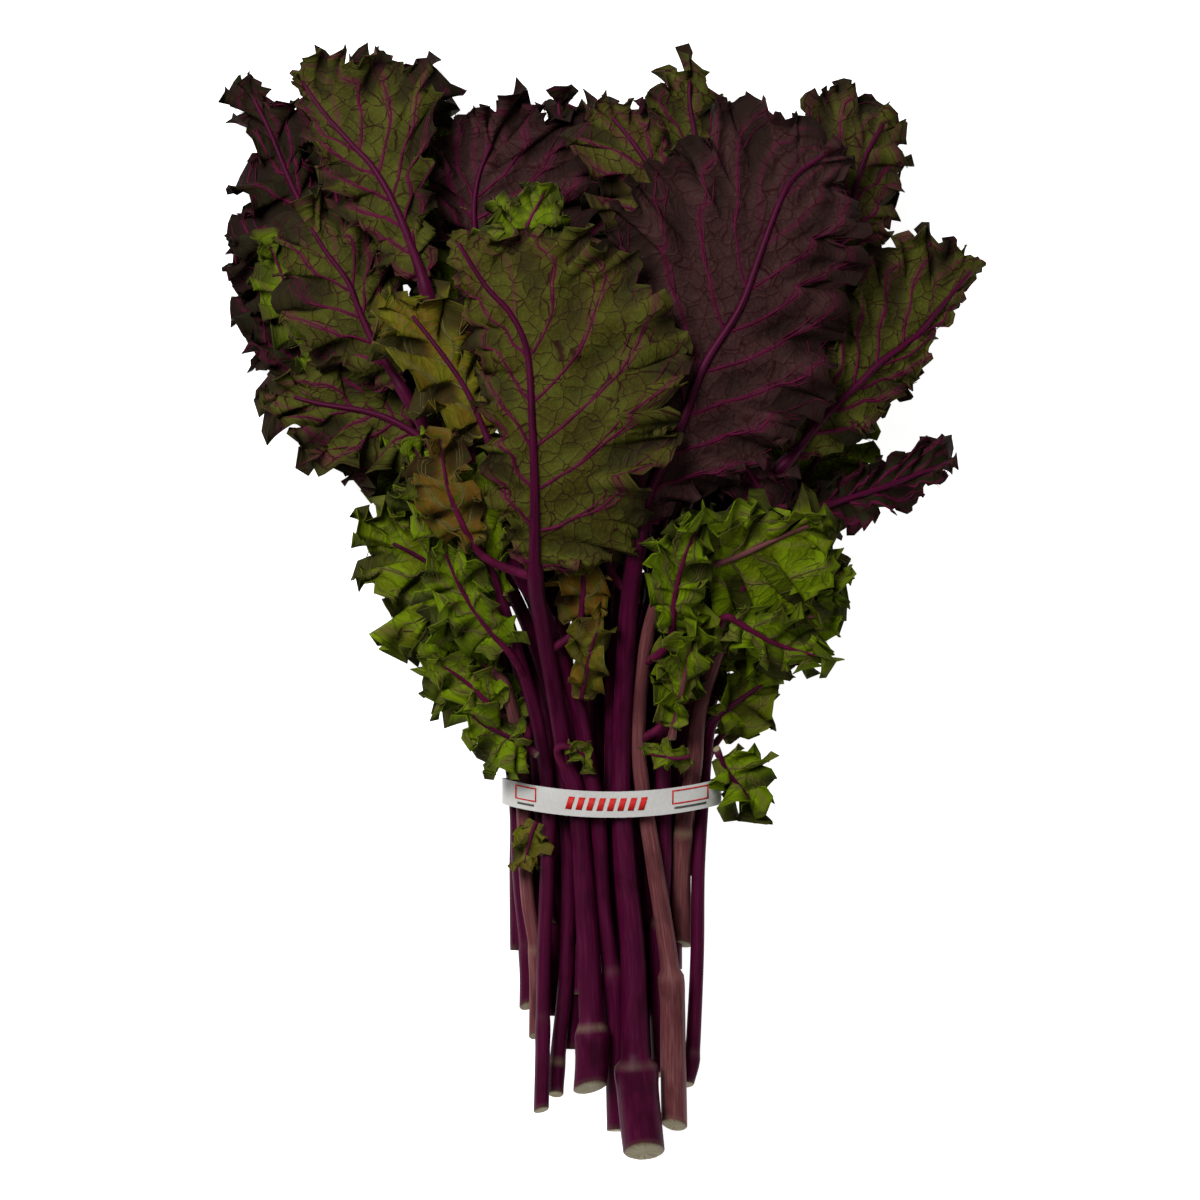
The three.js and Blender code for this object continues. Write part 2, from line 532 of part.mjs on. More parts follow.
// A stem: round as far as the blade, then a rib with a flat underside that lies on the blade.
function makeStem(leaf, layout, name) {
  const { midline, base, tie, level } = layout;
  const [foot, held, start] = leaf.radii;
  const radius = (distance) => {
    const [, y] = pointAlong(midline, distance);
    const stalk = 1 - smooth(leaf.joint, leaf.joint + STEP_LENGTH, y);
    if (distance < tie) return mix(mix(mix(held, foot, 0.6), held, distance / tie), foot, stalk);
    if (distance < base) return mix(held, start, (distance - tie) / (base - tie));
    return mix(0.8 * start, RIB_END_RADIUS, Math.sqrt((distance - base) / (midline.total - base)));
  };
  const stations = [];
  const rings = Math.max(1, Math.round((base - 3) / 32));
  for (let k = 0; k <= rings; k++) stations.push(((base - 3) * k) / rings);
  const jointAt = midline.lengths[Math.max(0, midline.line.findIndex(([, y]) => y >= leaf.joint))];
  if (leaf.joint > leaf.route[0][1] + 6) stations.push(jointAt, jointAt + STEP_LENGTH);
  const step = leaf.grain <= 12 || foot > 5 ? 2 : 4;
  for (let c = 0; c < leaf.grain; c += step) {
    stations.push(base + (midline.total - base) * Math.pow(c / leaf.grain, 1.1));
  }
  stations.push(midline.total);
  const ordered = stations.sort((a, b) => a - b).filter((s, i, all) => i === 0 || s - all[i - 1] > 0.8);
  const sides = leaf.radii[0] > 6 ? 12 : 8;
  const corners = [];
  const faces = [];
  for (const distance of ordered) {
    const [x, y] = pointAlong(midline, distance);
    const [bx, by] = pointAlong(midline, Math.max(0, distance - 1));
    const [ax, ay] = pointAlong(midline, Math.min(midline.total, distance + 1));
    const height = (px, py, at) => pileTop(px, py) * level(at);
    const climb = height(ax, ay, distance + 1) - height(bx, by, distance - 1);
    const along = new THREE.Vector3(ax - bx, ay - by, climb).normalize();
    const flat = new THREE.Vector3(by - ay, ax - bx, 0).normalize();
    const slope = height(x + flat.x, y + flat.y, distance) - height(x - flat.x, y - flat.y, distance);
    const across = new THREE.Vector3(flat.x, flat.y, distance < base - 3 ? 0 : slope / 2);
    across.addScaledVector(along, -across.dot(along)).normalize();
    const out = along.clone().cross(across);
    const middle = new THREE.Vector3(x, y, height(x, y, distance));
    const r = radius(distance);
    const rib = distance > base - 1.5;
    for (let k = 0; k < sides; k++) {
      const angle = (2 * Math.PI * (k + 0.5)) / sides - Math.PI / 2;
      const rise = r * Math.sin(angle);
      const high = rib ? BLADE_THICKNESS / 2 + RIB_GAP + Math.max(0, rise) : rise;
      corners.push(middle.clone().addScaledVector(across, -r * Math.cos(angle)).addScaledVector(out, high));
    }
  }
  for (let i = 0; i < ordered.length - 1; i++) {
    for (let k = 0; k < sides; k++) {
      const [a, b] = [i * sides + k, i * sides + ((k + 1) % sides)];
      faces.push([a, b + sides, b], [a, a + sides, b + sides]);
    }
  }
  for (const [first, turned] of [[0, true], [(ordered.length - 1) * sides, false]]) {
    const ring = [...Array(sides).keys()].map((k) => first + k);
    const centre = ring.reduce((sum, i) => sum.add(corners[i]), new THREE.Vector3()).divideScalar(sides);
    corners.push(centre);
    const c = corners.length - 1;
    ring.forEach((i, k) => {
      const next = ring[(k + 1) % sides];
      faces.push(turned ? [c, i, next] : [c, next, i]);
    });
  }
  return meshOf(name, leaf.stem, corners, faces);
}

// The tie: a strap round the bundle, flat where it lies on the table.
function makeTie() {
  const corners = [];
  const faces = [];
  for (let k = 0; k < TIE_SEGMENTS; k++) {
    const angle = (2 * Math.PI * (k + 0.5)) / TIE_SEGMENTS;
    for (const grow of [0, TIE_THICKNESS]) {
      const power = 2 / TIE_ROUNDNESS;
      const c = Math.cos(angle);
      const s = Math.sin(angle);
      const x = Math.sign(c) * Math.pow(Math.abs(c), power) * (TIE_HALF_WIDTH + grow);
      const half = BUNDLE_HEIGHT / 2;
      const z = half + Math.sign(s) * Math.pow(Math.abs(s), power) * (half + grow);
      const low = grow ? 0 : TIE_THICKNESS;
      const bow = TIE_BOW * x * x - 2.5;
      for (const end of [-0.5, 0.5]) {
        corners.push(new THREE.Vector3(TIE_MIDDLE_X + x, TIE_Y + bow + end * TIE_WIDTH, Math.max(z, low)));
      }
    }
  }
  for (let k = 0; k < TIE_SEGMENTS; k++) {
    const a = 4 * k;
    const b = 4 * ((k + 1) % TIE_SEGMENTS);
    faces.push([a, b, b + 1], [a, b + 1, a + 1]);
    faces.push([a + 2, b + 3, b + 2], [a + 2, a + 3, b + 3]);
    faces.push([a, a + 2, b + 2], [a, b + 2, b]);
    faces.push([a + 1, b + 1, b + 3], [a + 1, b + 3, a + 3]);
  }
  return meshOf("tie", "paper", corners, faces);
}

const group = new THREE.Group();
for (const leaf of LEAVES) {
  const layout = layOut(leaf);
  group.add(makeStem(leaf, layout, leaf.name + "_stem"));
  group.add(makeBlade(leaf, layout, leaf.name + "_blade"));
}
for (const leaflet of LEAFLETS) {
  const leaf = { ...leaflet, base: 0 };
  group.add(makeBlade(leaf, layOut(leaf), leaf.name));
}
group.add(makeTie());

// The origin goes to the middle of the whole, seen from above.
const whole = new THREE.Box3().setFromObject(group);
const middle = whole.getCenter(new THREE.Vector3());
for (const mesh of group.children) mesh.geometry.translate(-middle.x, -middle.y, 0);

export default group;
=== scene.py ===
# A bunch of purple kale, tied round its stems and lying on its side.
# The leaves follow the same lines as the part's own solids, with finer frills, veins and stems.
import math

import bpy
import numpy as np
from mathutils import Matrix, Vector


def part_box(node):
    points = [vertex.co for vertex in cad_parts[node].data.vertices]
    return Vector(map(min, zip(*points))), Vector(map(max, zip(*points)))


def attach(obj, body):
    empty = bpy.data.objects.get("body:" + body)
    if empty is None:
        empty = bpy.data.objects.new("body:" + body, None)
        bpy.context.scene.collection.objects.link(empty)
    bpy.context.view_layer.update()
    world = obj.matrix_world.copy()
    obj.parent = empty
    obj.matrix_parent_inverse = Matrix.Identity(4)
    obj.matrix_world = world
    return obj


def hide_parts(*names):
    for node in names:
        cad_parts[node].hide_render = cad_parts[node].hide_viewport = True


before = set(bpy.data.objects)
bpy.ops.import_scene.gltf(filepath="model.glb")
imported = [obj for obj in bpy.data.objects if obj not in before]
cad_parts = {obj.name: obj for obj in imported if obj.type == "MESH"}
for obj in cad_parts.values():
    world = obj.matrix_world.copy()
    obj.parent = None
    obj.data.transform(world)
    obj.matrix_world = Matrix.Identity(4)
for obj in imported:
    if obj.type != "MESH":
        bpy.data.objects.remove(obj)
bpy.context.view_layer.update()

bl_info = {
    "name": "Purple kale bunch",
    "version": (1, 0, 0),
    "blender": (4, 5, 0),
    "location": "View3D > Sidebar > Kale",
    "description": "Models a tied bunch of purple kale: stems, frilled blades, veins and paper tie",
    "category": "Object",
}

MM = 0.001

# The tie and the bundle of stems that it holds, in millimetres.
TIE_Y = -84
TIE_MIDDLE_Y = -86.5
TIE_WIDTH = 11
TIE_THICKNESS = 0.8
TIE_HALF_WIDTH = 46
TIE_MIDDLE_X = 5
TIE_ROUNDNESS = 2.6
TIE_BOW = 0.0024
BUNDLE_HEIGHT = 36

# The pile of leaves, in millimetres.
PILE_HEIGHT = 100
PILE_HALF_WIDTH = 185
PILE_ROUNDING = 0.9
TIPS_DROP = 28
HIGHEST = 101

# Every leaf.
BASE_HALF_WIDTH = 3.5
LOBE_DEPTH = 1.6
RUFFLE = 4.6
SPLINE_STEPS = 16

# The leaves. route runs from the cut end to the end of the midrib, as seen from above, and base is its
# point where the blade starts. left and right are the margin's two sides from the base to the tip.
# levels are heights in the pile, from 0 (the table) to 1 (its top), at the cut end, at the tie, at the
# blade's base and at its tip. radii are the stem's at the cut end, at the tie and at the base.
# joint is the y where the stem widens into its stalk, and waves is how many run down one side.
LEAVES = (
    dict(
        route=((-4.6, -211), (-3.4, -185), (-6.3, -129), (-10, -84), (-14, -70), (-20.6, -31),
            (-25.6, -3), (-27, 12), (-27, 48), (-28, 74), (-30, 102), (-37, 118), (-47, 129),
            (-59, 148)),
        left=((-40, 28), (-50, 55), (-52, 90), (-56, 118), (-62, 138)),
        right=((2, 15), (18, 24), (26, 50), (38, 92), (37, 113), (25, 130), (8, 146), (-17, 155),
            (-38, 151)),
        name="leaf_01", tint="olive", stem="purple", base=7, tip=(-63, 153),
        levels=(0.74, 0.8, 0.93, 0.95), radii=(6.8, 3.8, 3.4), joint=-184, waves=6,
    ),
    dict(
        route=((19.3, -239), (15.5, -200), (13.9, -149), (11, -118), (9, -84), (9.2, -59), (10.5, -28),
            (12.6, 2), (16.4, 27), (21.4, 47), (33, 71), (43, 97), (57.5, 120), (65.5, 141), (74, 164),
            (81, 176), (94, 186)),
        left=((-2, 34), (-3, 55), (6, 84), (21, 109), (9, 130), (2, 153), (8, 170), (19, 184),
            (38, 190), (48, 206), (62, 211), (82, 203)),
        right=((38, 42), (59, 50), (84, 67), (97, 84), (102, 101), (105, 126), (114, 149), (108, 172)),
        name="leaf_02", tint="dusk", stem="purple", base=8, tip=(100, 193),
        levels=(0.76, 0.82, 0.8, 0.82), radii=(8.4, 4, 3.6), joint=-198, waves=7,
    ),
    dict(
        route=((31.6, -227), (31, -195), (30, -160), (23.5, -115), (18.5, -84), (16.2, -60),
            (17.6, -34), (21, -10), (28.6, 8), (42, 13), (57, 18), (77, 27), (87, 31)),
        left=((29, 22), (42, 36), (61, 40), (78, 40), (92, 40)),
        right=((32, -5), (42, -17), (59, -21), (78, -17), (92, -5), (101, 12)),
        name="leaf_03", tint="green", stem="rose", base=8, tip=(101, 28),
        levels=(0.6, 0.79, 0.8, 0.82), radii=(5.2, 3.2, 2.5), joint=-160, waves=5,
    ),
    dict(
        route=((27, -205), (25.2, -155), (27, -110), (27, -84), (27, -55), (29, -30), (35, 0),
            (47, 25), (64, 45), (80, 60), (94, 77), (109, 91), (118, 100), (134, 112), (145, 125),
            (157, 139)),
        left=((82, 82), (95, 109), (104, 136), (113, 148), (123, 156), (136, 158), (149, 153)),
        right=((104, 63), (118, 76), (131, 91), (142, 105), (151, 122), (160, 136)),
        name="leaf_04", tint="olive", stem="purple", base=9, tip=(163, 145),
        levels=(0.34, 0.62, 0.64, 0.66), radii=(4.5, 3.4, 3), joint=-140, waves=6,
    ),
    dict(
        route=((16.5, -180), (14.5, -130), (14.5, -84), (15.5, -40), (22, 0), (40, 50), (62, 90),
            (82, 120), (97, 142), (104, 157), (107, 170), (112, 187), (120, 202)),
        left=((84, 150), (80, 172), (80, 192), (83, 208), (94, 218), (106, 218), (117, 214)),
        right=((108, 136), (118, 150), (125, 166), (128, 180), (130, 192)),
        name="leaf_05", tint="olive", stem="purple", base=7, tip=(127, 207),
        levels=(0.38, 0.5, 0.52, 0.54), radii=(3.6, 3.2, 2.8), joint=-150, waves=5,
    ),
    dict(
        route=((14, -160), (15, -120), (16.5, -84), (18, -40), (24, 20), (32, 70), (36, 110),
            (38, 145), (41, 168), (41, 189), (38, 210), (38, 220)),
        left=((26, 172), (21, 195), (20, 211), (22, 222), (29, 230)),
        right=((58, 168), (62, 190), (56, 208), (49, 221)),
        name="leaf_06", tint="olive", stem="purple", base=7, tip=(38, 232),
        levels=(0.13, 0.2, 0.38, 0.4), radii=(3.8, 3, 2.6), joint=-130, waves=4,
    ),
    dict(
        route=((3, -176), (3.5, -130), (4.5, -84), (5, -40), (8, 0), (12, 60), (16, 110), (21, 148),
            (24, 172), (16, 188), (5, 202)),
        left=((4, 154), (-7, 168), (-14, 188), (-12, 204)),
        right=((36, 166), (34, 184), (24, 202), (11, 211)),
        name="leaf_07", tint="olive", stem="purple", base=7, tip=(-2, 213),
        levels=(0.14, 0.52, 0.66, 0.68), radii=(3.8, 3.2, 2.6), joint=-140, waves=4,
    ),
    dict(
        route=((7.6, -228), (6.7, -185), (5.5, -163), (1.8, -135), (-0.3, -100), (-2, -84),
            (-5.5, -67), (-9.2, -46), (-17.6, -22), (-25, -3), (-33, 9), (-41, 25), (-49, 40),
            (-59, 76), (-68, 110), (-74, 134), (-85, 163), (-95, 181), (-105, 192), (-117, 206),
            (-126, 219)),
        left=((-92, 141), (-104, 156), (-116, 172), (-122, 189), (-127, 206)),
        right=((-70, 149), (-71, 185), (-69, 210), (-72, 225), (-88, 229), (-110, 232)),
        name="leaf_08", tint="olive", stem="purple", base=15, tip=(-130, 225),
        levels=(0.42, 0.77, 0.66, 0.68), radii=(5, 3.6, 3.2), joint=-160, waves=6,
    ),
    dict(
        route=((-31, -176), (-31, -151), (-34, -120), (-36, -84), (-39, -50), (-46, -20), (-62, 20),
            (-81, 60), (-99, 100), (-113, 136), (-120, 155), (-131, 176), (-141, 200), (-148, 214)),
        left=((-138, 118), (-150, 124), (-158, 136), (-159, 151), (-155, 165), (-157, 177),
            (-152, 187), (-154, 204), (-162, 216), (-157, 224)),
        right=((-108, 146), (-116, 158), (-120, 178), (-126, 206), (-137, 219)),
        name="leaf_09", tint="dark", stem="purple", base=9, tip=(-149, 227),
        levels=(0.3, 0.35, 0.24, 0.26), radii=(3.4, 3, 2.6), joint=-150, waves=5,
    ),
    dict(
        route=((-23, -112), (-24, -84), (-28, -50), (-40, -12), (-62, 28), (-85, 62), (-104, 90),
            (-120, 112), (-132, 132), (-140, 145), (-149, 159)),
        left=((-118, 72), (-138, 84), (-152, 105), (-160, 128), (-160, 150)),
        right=((-92, 110), (-104, 138), (-118, 160), (-136, 172)),
        name="leaf_10", tint="dark", stem="purple", base=6, tip=(-155, 170),
        levels=(0.16, 0.18, 0.08, 0.05), radii=(3, 3, 2.6), joint=-300, waves=5,
    ),
    dict(
        route=((-19, -213), (-18, -195), (-14.5, -160), (-13.5, -115), (-15.5, -84), (-19, -50),
            (-31, -10), (-51, 30), (-68, 62), (-84, 90), (-94, 106), (-101, 121), (-106, 134),
            (-115, 146), (-122, 157)),
        left=((-108, 96), (-128, 108), (-137, 128), (-137, 146), (-134, 160)),
        right=((-82, 106), (-85, 130), (-91, 148), (-98, 164), (-112, 171)),
        name="leaf_11", tint="olive", stem="purple", base=9, tip=(-127, 170),
        levels=(0.4, 0.5, 0.52, 0.54), radii=(3.2, 3, 2.6), joint=-198, waves=5,
    ),
    dict(
        route=((-10, -165), (-12, -120), (-13.5, -84), (-16, -50), (-25, -10), (-42, 25), (-60, 50),
            (-73, 66), (-86, 75), (-100, 80), (-118, 83), (-130, 86)),
        left=((-84, 56), (-101, 50), (-118, 55), (-133, 67), (-145, 79)),
        right=((-76, 86), (-88, 99), (-106, 104), (-124, 102), (-138, 98)),
        name="leaf_12", tint="olive", stem="purple", base=7, tip=(-146, 92),
        levels=(0.16, 0.2, 0.38, 0.38), radii=(4, 3, 2.6), joint=-130, waves=5,
    ),
    dict(
        route=((-25, -219), (-24.4, -193), (-24, -156), (-22.5, -115), (-22, -84), (-27, -50),
            (-35, -22), (-41, -2), (-45, 12), (-53, 27), (-60, 39), (-65, 51)),
        left=((-54, -1), (-68, 15), (-81, 32), (-85, 45), (-82, 58)),
        right=((-39, 12), (-40, 26), (-41, 42), (-46, 56), (-57, 62)),
        name="leaf_13", tint="green", stem="purple", base=7, tip=(-71, 64),
        levels=(0.6, 0.72, 0.8, 0.8), radii=(3.2, 3, 2.8), joint=-180, waves=4,
    ),
    dict(
        route=((-27, -188), (-27.3, -151), (-31, -125), (-33, -84), (-35, -60), (-38, -44), (-43, -32),
            (-58, -24), (-66, -18)),
        left=((-48, -45), (-62, -48), (-74, -42)),
        right=((-47, -21), (-53, -9), (-65, -5), (-75, -12)),
        name="leaf_14", tint="green", stem="rose", base=6, tip=(-78, -26),
        levels=(0.46, 0.57, 0.66, 0.66), radii=(3.2, 2.8, 2.4), joint=-150, waves=4,
    ),
    dict(
        route=((-26, -66), (-30, -62), (-38, -58), (-48, -53), (-54, -49)),
        left=((-34, -73), (-43, -78), (-52, -70), (-59, -60)),
        right=((-36, -49), (-46, -41), (-56, -40)),
        name="leaf_15", tint="green", stem="purple", base=1, tip=(-61, -48),
        levels=(1.14, 1.14, 1.12, 1.05), radii=(1.6, 1.6, 1.5), joint=-300, waves=3,
    ),
    dict(
        route=((-21, -140), (-24, -115), (-26, -84), (-30, -50), (-39, -18), (-48, -4), (-58, 6),
            (-70, 14), (-80, 20), (-88, 24)),
        left=((-54, -18), (-68, -14), (-78, -22), (-92, -22), (-98, -4), (-104, 12)),
        right=((-54, 13), (-66, 33), (-82, 44), (-98, 43)),
        name="leaf_16", tint="green", stem="purple", base=5, tip=(-107, 34),
        levels=(0.3, 0.44, 0.38, 0.36), radii=(3, 2.8, 2.4), joint=-130, waves=5,
    ),
    dict(
        route=((-8, -170), (-6.5, -130), (-5.5, -84), (-6, -40), (-12, 10), (-24, 60), (-38, 105),
            (-48, 136), (-53, 158), (-52, 177), (-46, 193)),
        left=((-66, 146), (-73, 168), (-72, 190), (-64, 204)),
        right=((-26, 140), (-6, 158), (-1, 184), (-12, 205), (-30, 213)),
        name="leaf_17", tint="dusk", stem="purple", base=7, tip=(-47, 212),
        levels=(0.36, 0.5, 0.38, 0.4), radii=(4, 3.2, 2.8), joint=-150, waves=5,
    ),
    dict(
        route=((-3, -125), (-3.5, -105), (-4, -84), (-5, -40), (-12, 10), (-32, 60), (-56, 105),
            (-76, 142), (-85, 172), (-90, 200), (-90, 221)),
        left=((-96, 158), (-107, 185), (-108, 210), (-111, 232)),
        right=((-62, 160), (-54, 186), (-59, 210), (-68, 226), (-78, 235)),
        name="leaf_18", tint="dark", stem="purple", base=7, tip=(-94, 237),
        levels=(0.18, 0.2, 0.24, 0.26), radii=(3.4, 3.2, 2.8), joint=-300, waves=5,
    ),
    dict(
        route=((22.5, -150), (22.5, -120), (24, -84), (25, -50), (32, -12), (48, 16), (68, 30),
            (86, 37), (102, 42), (118, 47), (134, 53), (148, 58)),
        left=((92, 50), (107, 56), (119, 59), (129, 64), (142, 70), (150, 69)),
        right=((98, 27), (111, 31), (127, 38), (139, 46), (148, 53)),
        name="leaf_19", tint="dark", stem="purple", base=7, tip=(155, 61),
        levels=(0.13, 0.4, 0.52, 0.5), radii=(3, 2.9, 2.6), joint=-300, waves=5,
    ),
    dict(
        route=((33, -104), (34, -84), (36, -50), (43, -15), (60, 14), (76, 36), (90, 56), (101, 74),
            (109, 90), (114, 101)),
        left=((70, 58), (77, 80), (88, 99), (101, 111)),
        right=((94, 36), (108, 46), (117, 60), (120, 78), (125, 97)),
        name="leaf_20", tint="green", stem="purple", base=5, tip=(118, 112),
        levels=(0.27, 0.3, 0.24, 0.24), radii=(3, 3, 2.6), joint=-300, waves=5,
    ),
    dict(
        route=((35.5, -150), (34.5, -125), (35, -101), (37.5, -84), (40, -71), (41.6, -49),
            (45.8, -33), (53, -15), (64, -11), (77, -9), (90, -7), (97, -5)),
        left=((58, 2), (74, 6), (90, 9), (101, 7)),
        right=((60, -25), (72, -31), (87, -30), (99, -23), (105, -12)),
        name="leaf_21", tint="green", stem="rose", base=7, tip=(106, -2),
        levels=(0.25, 0.6, 0.66, 0.66), radii=(4, 3.6, 2.8), joint=-100, waves=4,
    ),
    dict(
        route=((35.8, -209), (39.2, -195), (40.4, -178), (41.6, -149), (42, -115), (44, -84),
            (46.6, -57), (50, -50), (56, -45), (63, -40), (69, -36)),
        left=((50, -38), (57, -28), (67, -24)),
        right=((57, -57), (65, -61), (73, -55), (77, -44)),
        name="leaf_22", tint="green", stem="purple", base=7, tip=(76, -31),
        levels=(0.4, 0.42, 0.5, 0.52), radii=(3.6, 2.7, 2.2), joint=-196, waves=3,
    ),
    dict(
        route=((49, -62), (51, -67), (54, -73), (59, -79), (64, -85)),
        left=((60, -63), (70, -68), (74, -78)),
        right=((49, -74), (52, -83), (58, -90), (65, -95)),
        name="leaf_23", tint="green", stem="purple", base=1, tip=(73, -90),
        levels=(0.8, 0.8, 0.8, 0.8), radii=(1.6, 1.6, 1.5), joint=-300, waves=3,
    ),
    dict(
        route=((30, -60), (31, -54), (33, -45), (36, -30), (38, -18)),
        left=((24.5, -46), (25, -32), (27, -18), (33, -9)),
        right=((38, -49), (40, -38), (45, -24), (45, -13)),
        name="leaf_24", tint="green", stem="rose", base=1, tip=(40, -7), levels=(1, 1, 1, 0.96),
        radii=(1.8, 1.8, 1.7), joint=-300, waves=3,
    ),
    dict(
        route=((5.5, -118), (6, -84), (6.5, -40), (4, 12), (0, 56), (-4, 90), (-8, 125), (-10, 150)),
        left=((-20, 28), (-36, 60), (-45, 98), (-45, 130), (-34, 156)),
        right=((20, 26), (30, 60), (34, 98), (32, 130), (18, 158)),
        name="leaf_25", tint="dark", stem="purple", base=3, tip=(-12, 172),
        levels=(0.16, 0.2, 0.12, 0.14), radii=(3.2, 3.2, 2.8), joint=-300, waves=4,
    ),
    dict(
        route=((27.5, -102), (27.5, -84), (31, -45), (42, 0), (52, 38), (66, 78), (76, 110), (84, 134)),
        left=((34, 36), (38, 70), (46, 104), (60, 134)),
        right=((58, 12), (78, 44), (96, 76), (106, 108), (106, 138)),
        name="leaf_26", tint="dark", stem="purple", base=3, tip=(90, 152),
        levels=(0.16, 0.18, 0.06, 0.03), radii=(3, 3, 2.6), joint=-300, waves=4,
    ),
    dict(
        route=((-42, 56), (-47, 68), (-56, 88), (-67, 104), (-78, 118)),
        left=((-66, 72), (-80, 88), (-92, 104), (-97, 120)),
        right=((-38, 84), (-50, 104), (-56, 120), (-70, 132)),
        name="leaf_27", tint="yellowing", stem="purple", base=1, tip=(-88, 131),
        levels=(0.8, 0.8, 0.8, 0.8), radii=(2, 2, 1.8), joint=-300, waves=4,
    ),
)
LEAFLETS = (
    dict(
        route=((-16, 12), (-8, 22), (0, 34), (5, 43)),
        left=((-22, 24), (-17, 38), (-6, 45)),
        right=((-4, 11), (4, 22), (9, 34)),
        name="leaflet_1", tint="yellowing", tip=(5, 47), levels=(0.88, 0.88, 0.87, 0.87), waves=2,
    ),
    dict(
        route=((-8, -42), (-6, -32), (-3, -18), (2, -6)),
        left=((-13, -32), (-12, -18), (-6, -6)),
        right=((-1, -40), (3, -28), (5, -14)),
        name="leaflet_2", tint="yellowing", tip=(3, -2), levels=(0.84, 0.84, 0.9, 0.95), waves=2,
    ),
    dict(
        route=((-27, -94), (-29, -99), (-31, -107), (-32, -113)),
        left=((-24, -102), (-24, -110), (-28, -116)),
        right=((-34, -96), (-37, -104), (-37, -112)),
        name="leaflet_3", tint="yellowing", tip=(-32, -117), levels=(0.86, 0.86, 0.84, 0.84), waves=2,
    ),
    dict(
        route=((38, -66), (32, -67), (26, -66), (20, -65)),
        left=((36, -71), (29, -73), (22, -71)),
        right=((34, -62), (27, -60), (20, -60)),
        name="leaflet_4", tint="green", tip=(16, -64), levels=(1.06, 1.06, 1.06, 1.06), waves=2,
    ),
)

# How each leaf looks: how strongly its margin curls, how many side veins it shows on each side, how far
# its colour leans to purple (0 to 1), and how much of it has dried brown (0 to 1).
LOOK_KEYS = ("curl", "veins", "purple", "dry")
LOOKS = {
    "leaf_01": (0.6, 6, 0.1, 0.1),
    "leaf_02": (0.65, 7, 0.7, 0.0),
    "leaf_03": (1.3, 5, 0.0, 0.15),
    "leaf_04": (0.6, 6, 0.15, 0.0),
    "leaf_05": (0.8, 5, 0.3, 0.0),
    "leaf_06": (1.0, 4, 0.15, 0.0),
    "leaf_07": (0.9, 4, 0.25, 0.1),
    "leaf_08": (0.7, 6, 0.15, 0.0),
    "leaf_09": (1.0, 5, 0.15, 0.0),
    "leaf_10": (1.0, 5, 0.1, 0.0),
    "leaf_11": (0.9, 5, 0.15, 0.0),
    "leaf_12": (1.1, 5, 0.15, 0.0),
    "leaf_13": (0.9, 4, 0.0, 0.1),
    "leaf_14": (1.3, 4, 0.0, 0.0),
    "leaf_15": (1.3, 4, 0.0, 0.0),
    "leaf_16": (1.2, 5, 0.05, 0.2),
    "leaf_17": (0.9, 5, 0.9, 0.0),
    "leaf_18": (1.1, 5, 0.1, 0.0),
    "leaf_19": (1.0, 5, 0.1, 0.0),
    "leaf_20": (1.2, 4, 0.1, 0.1),
    "leaf_21": (1.3, 4, 0.0, 0.0),
    "leaf_22": (1.3, 3, 0.05, 0.2),
    "leaf_23": (1.3, 3, 0.0, 0.0),
    "leaf_24": (1.3, 3, 0.0, 0.1),
    "leaf_25": (1.1, 4, 0.0, 0.0),
    "leaf_26": (1.1, 4, 0.0, 0.0),
    "leaf_27": (1.3, 4, 0.0, 0.6),
    "leaflet_1": (0.9, 3, 0.0, 0.9),
    "leaflet_2": (0.9, 3, 0.1, 0.7),
    "leaflet_3": (0.9, 3, 0.0, 0.5),
    "leaflet_4": (0.7, 3, 0.0, 0.1),
}

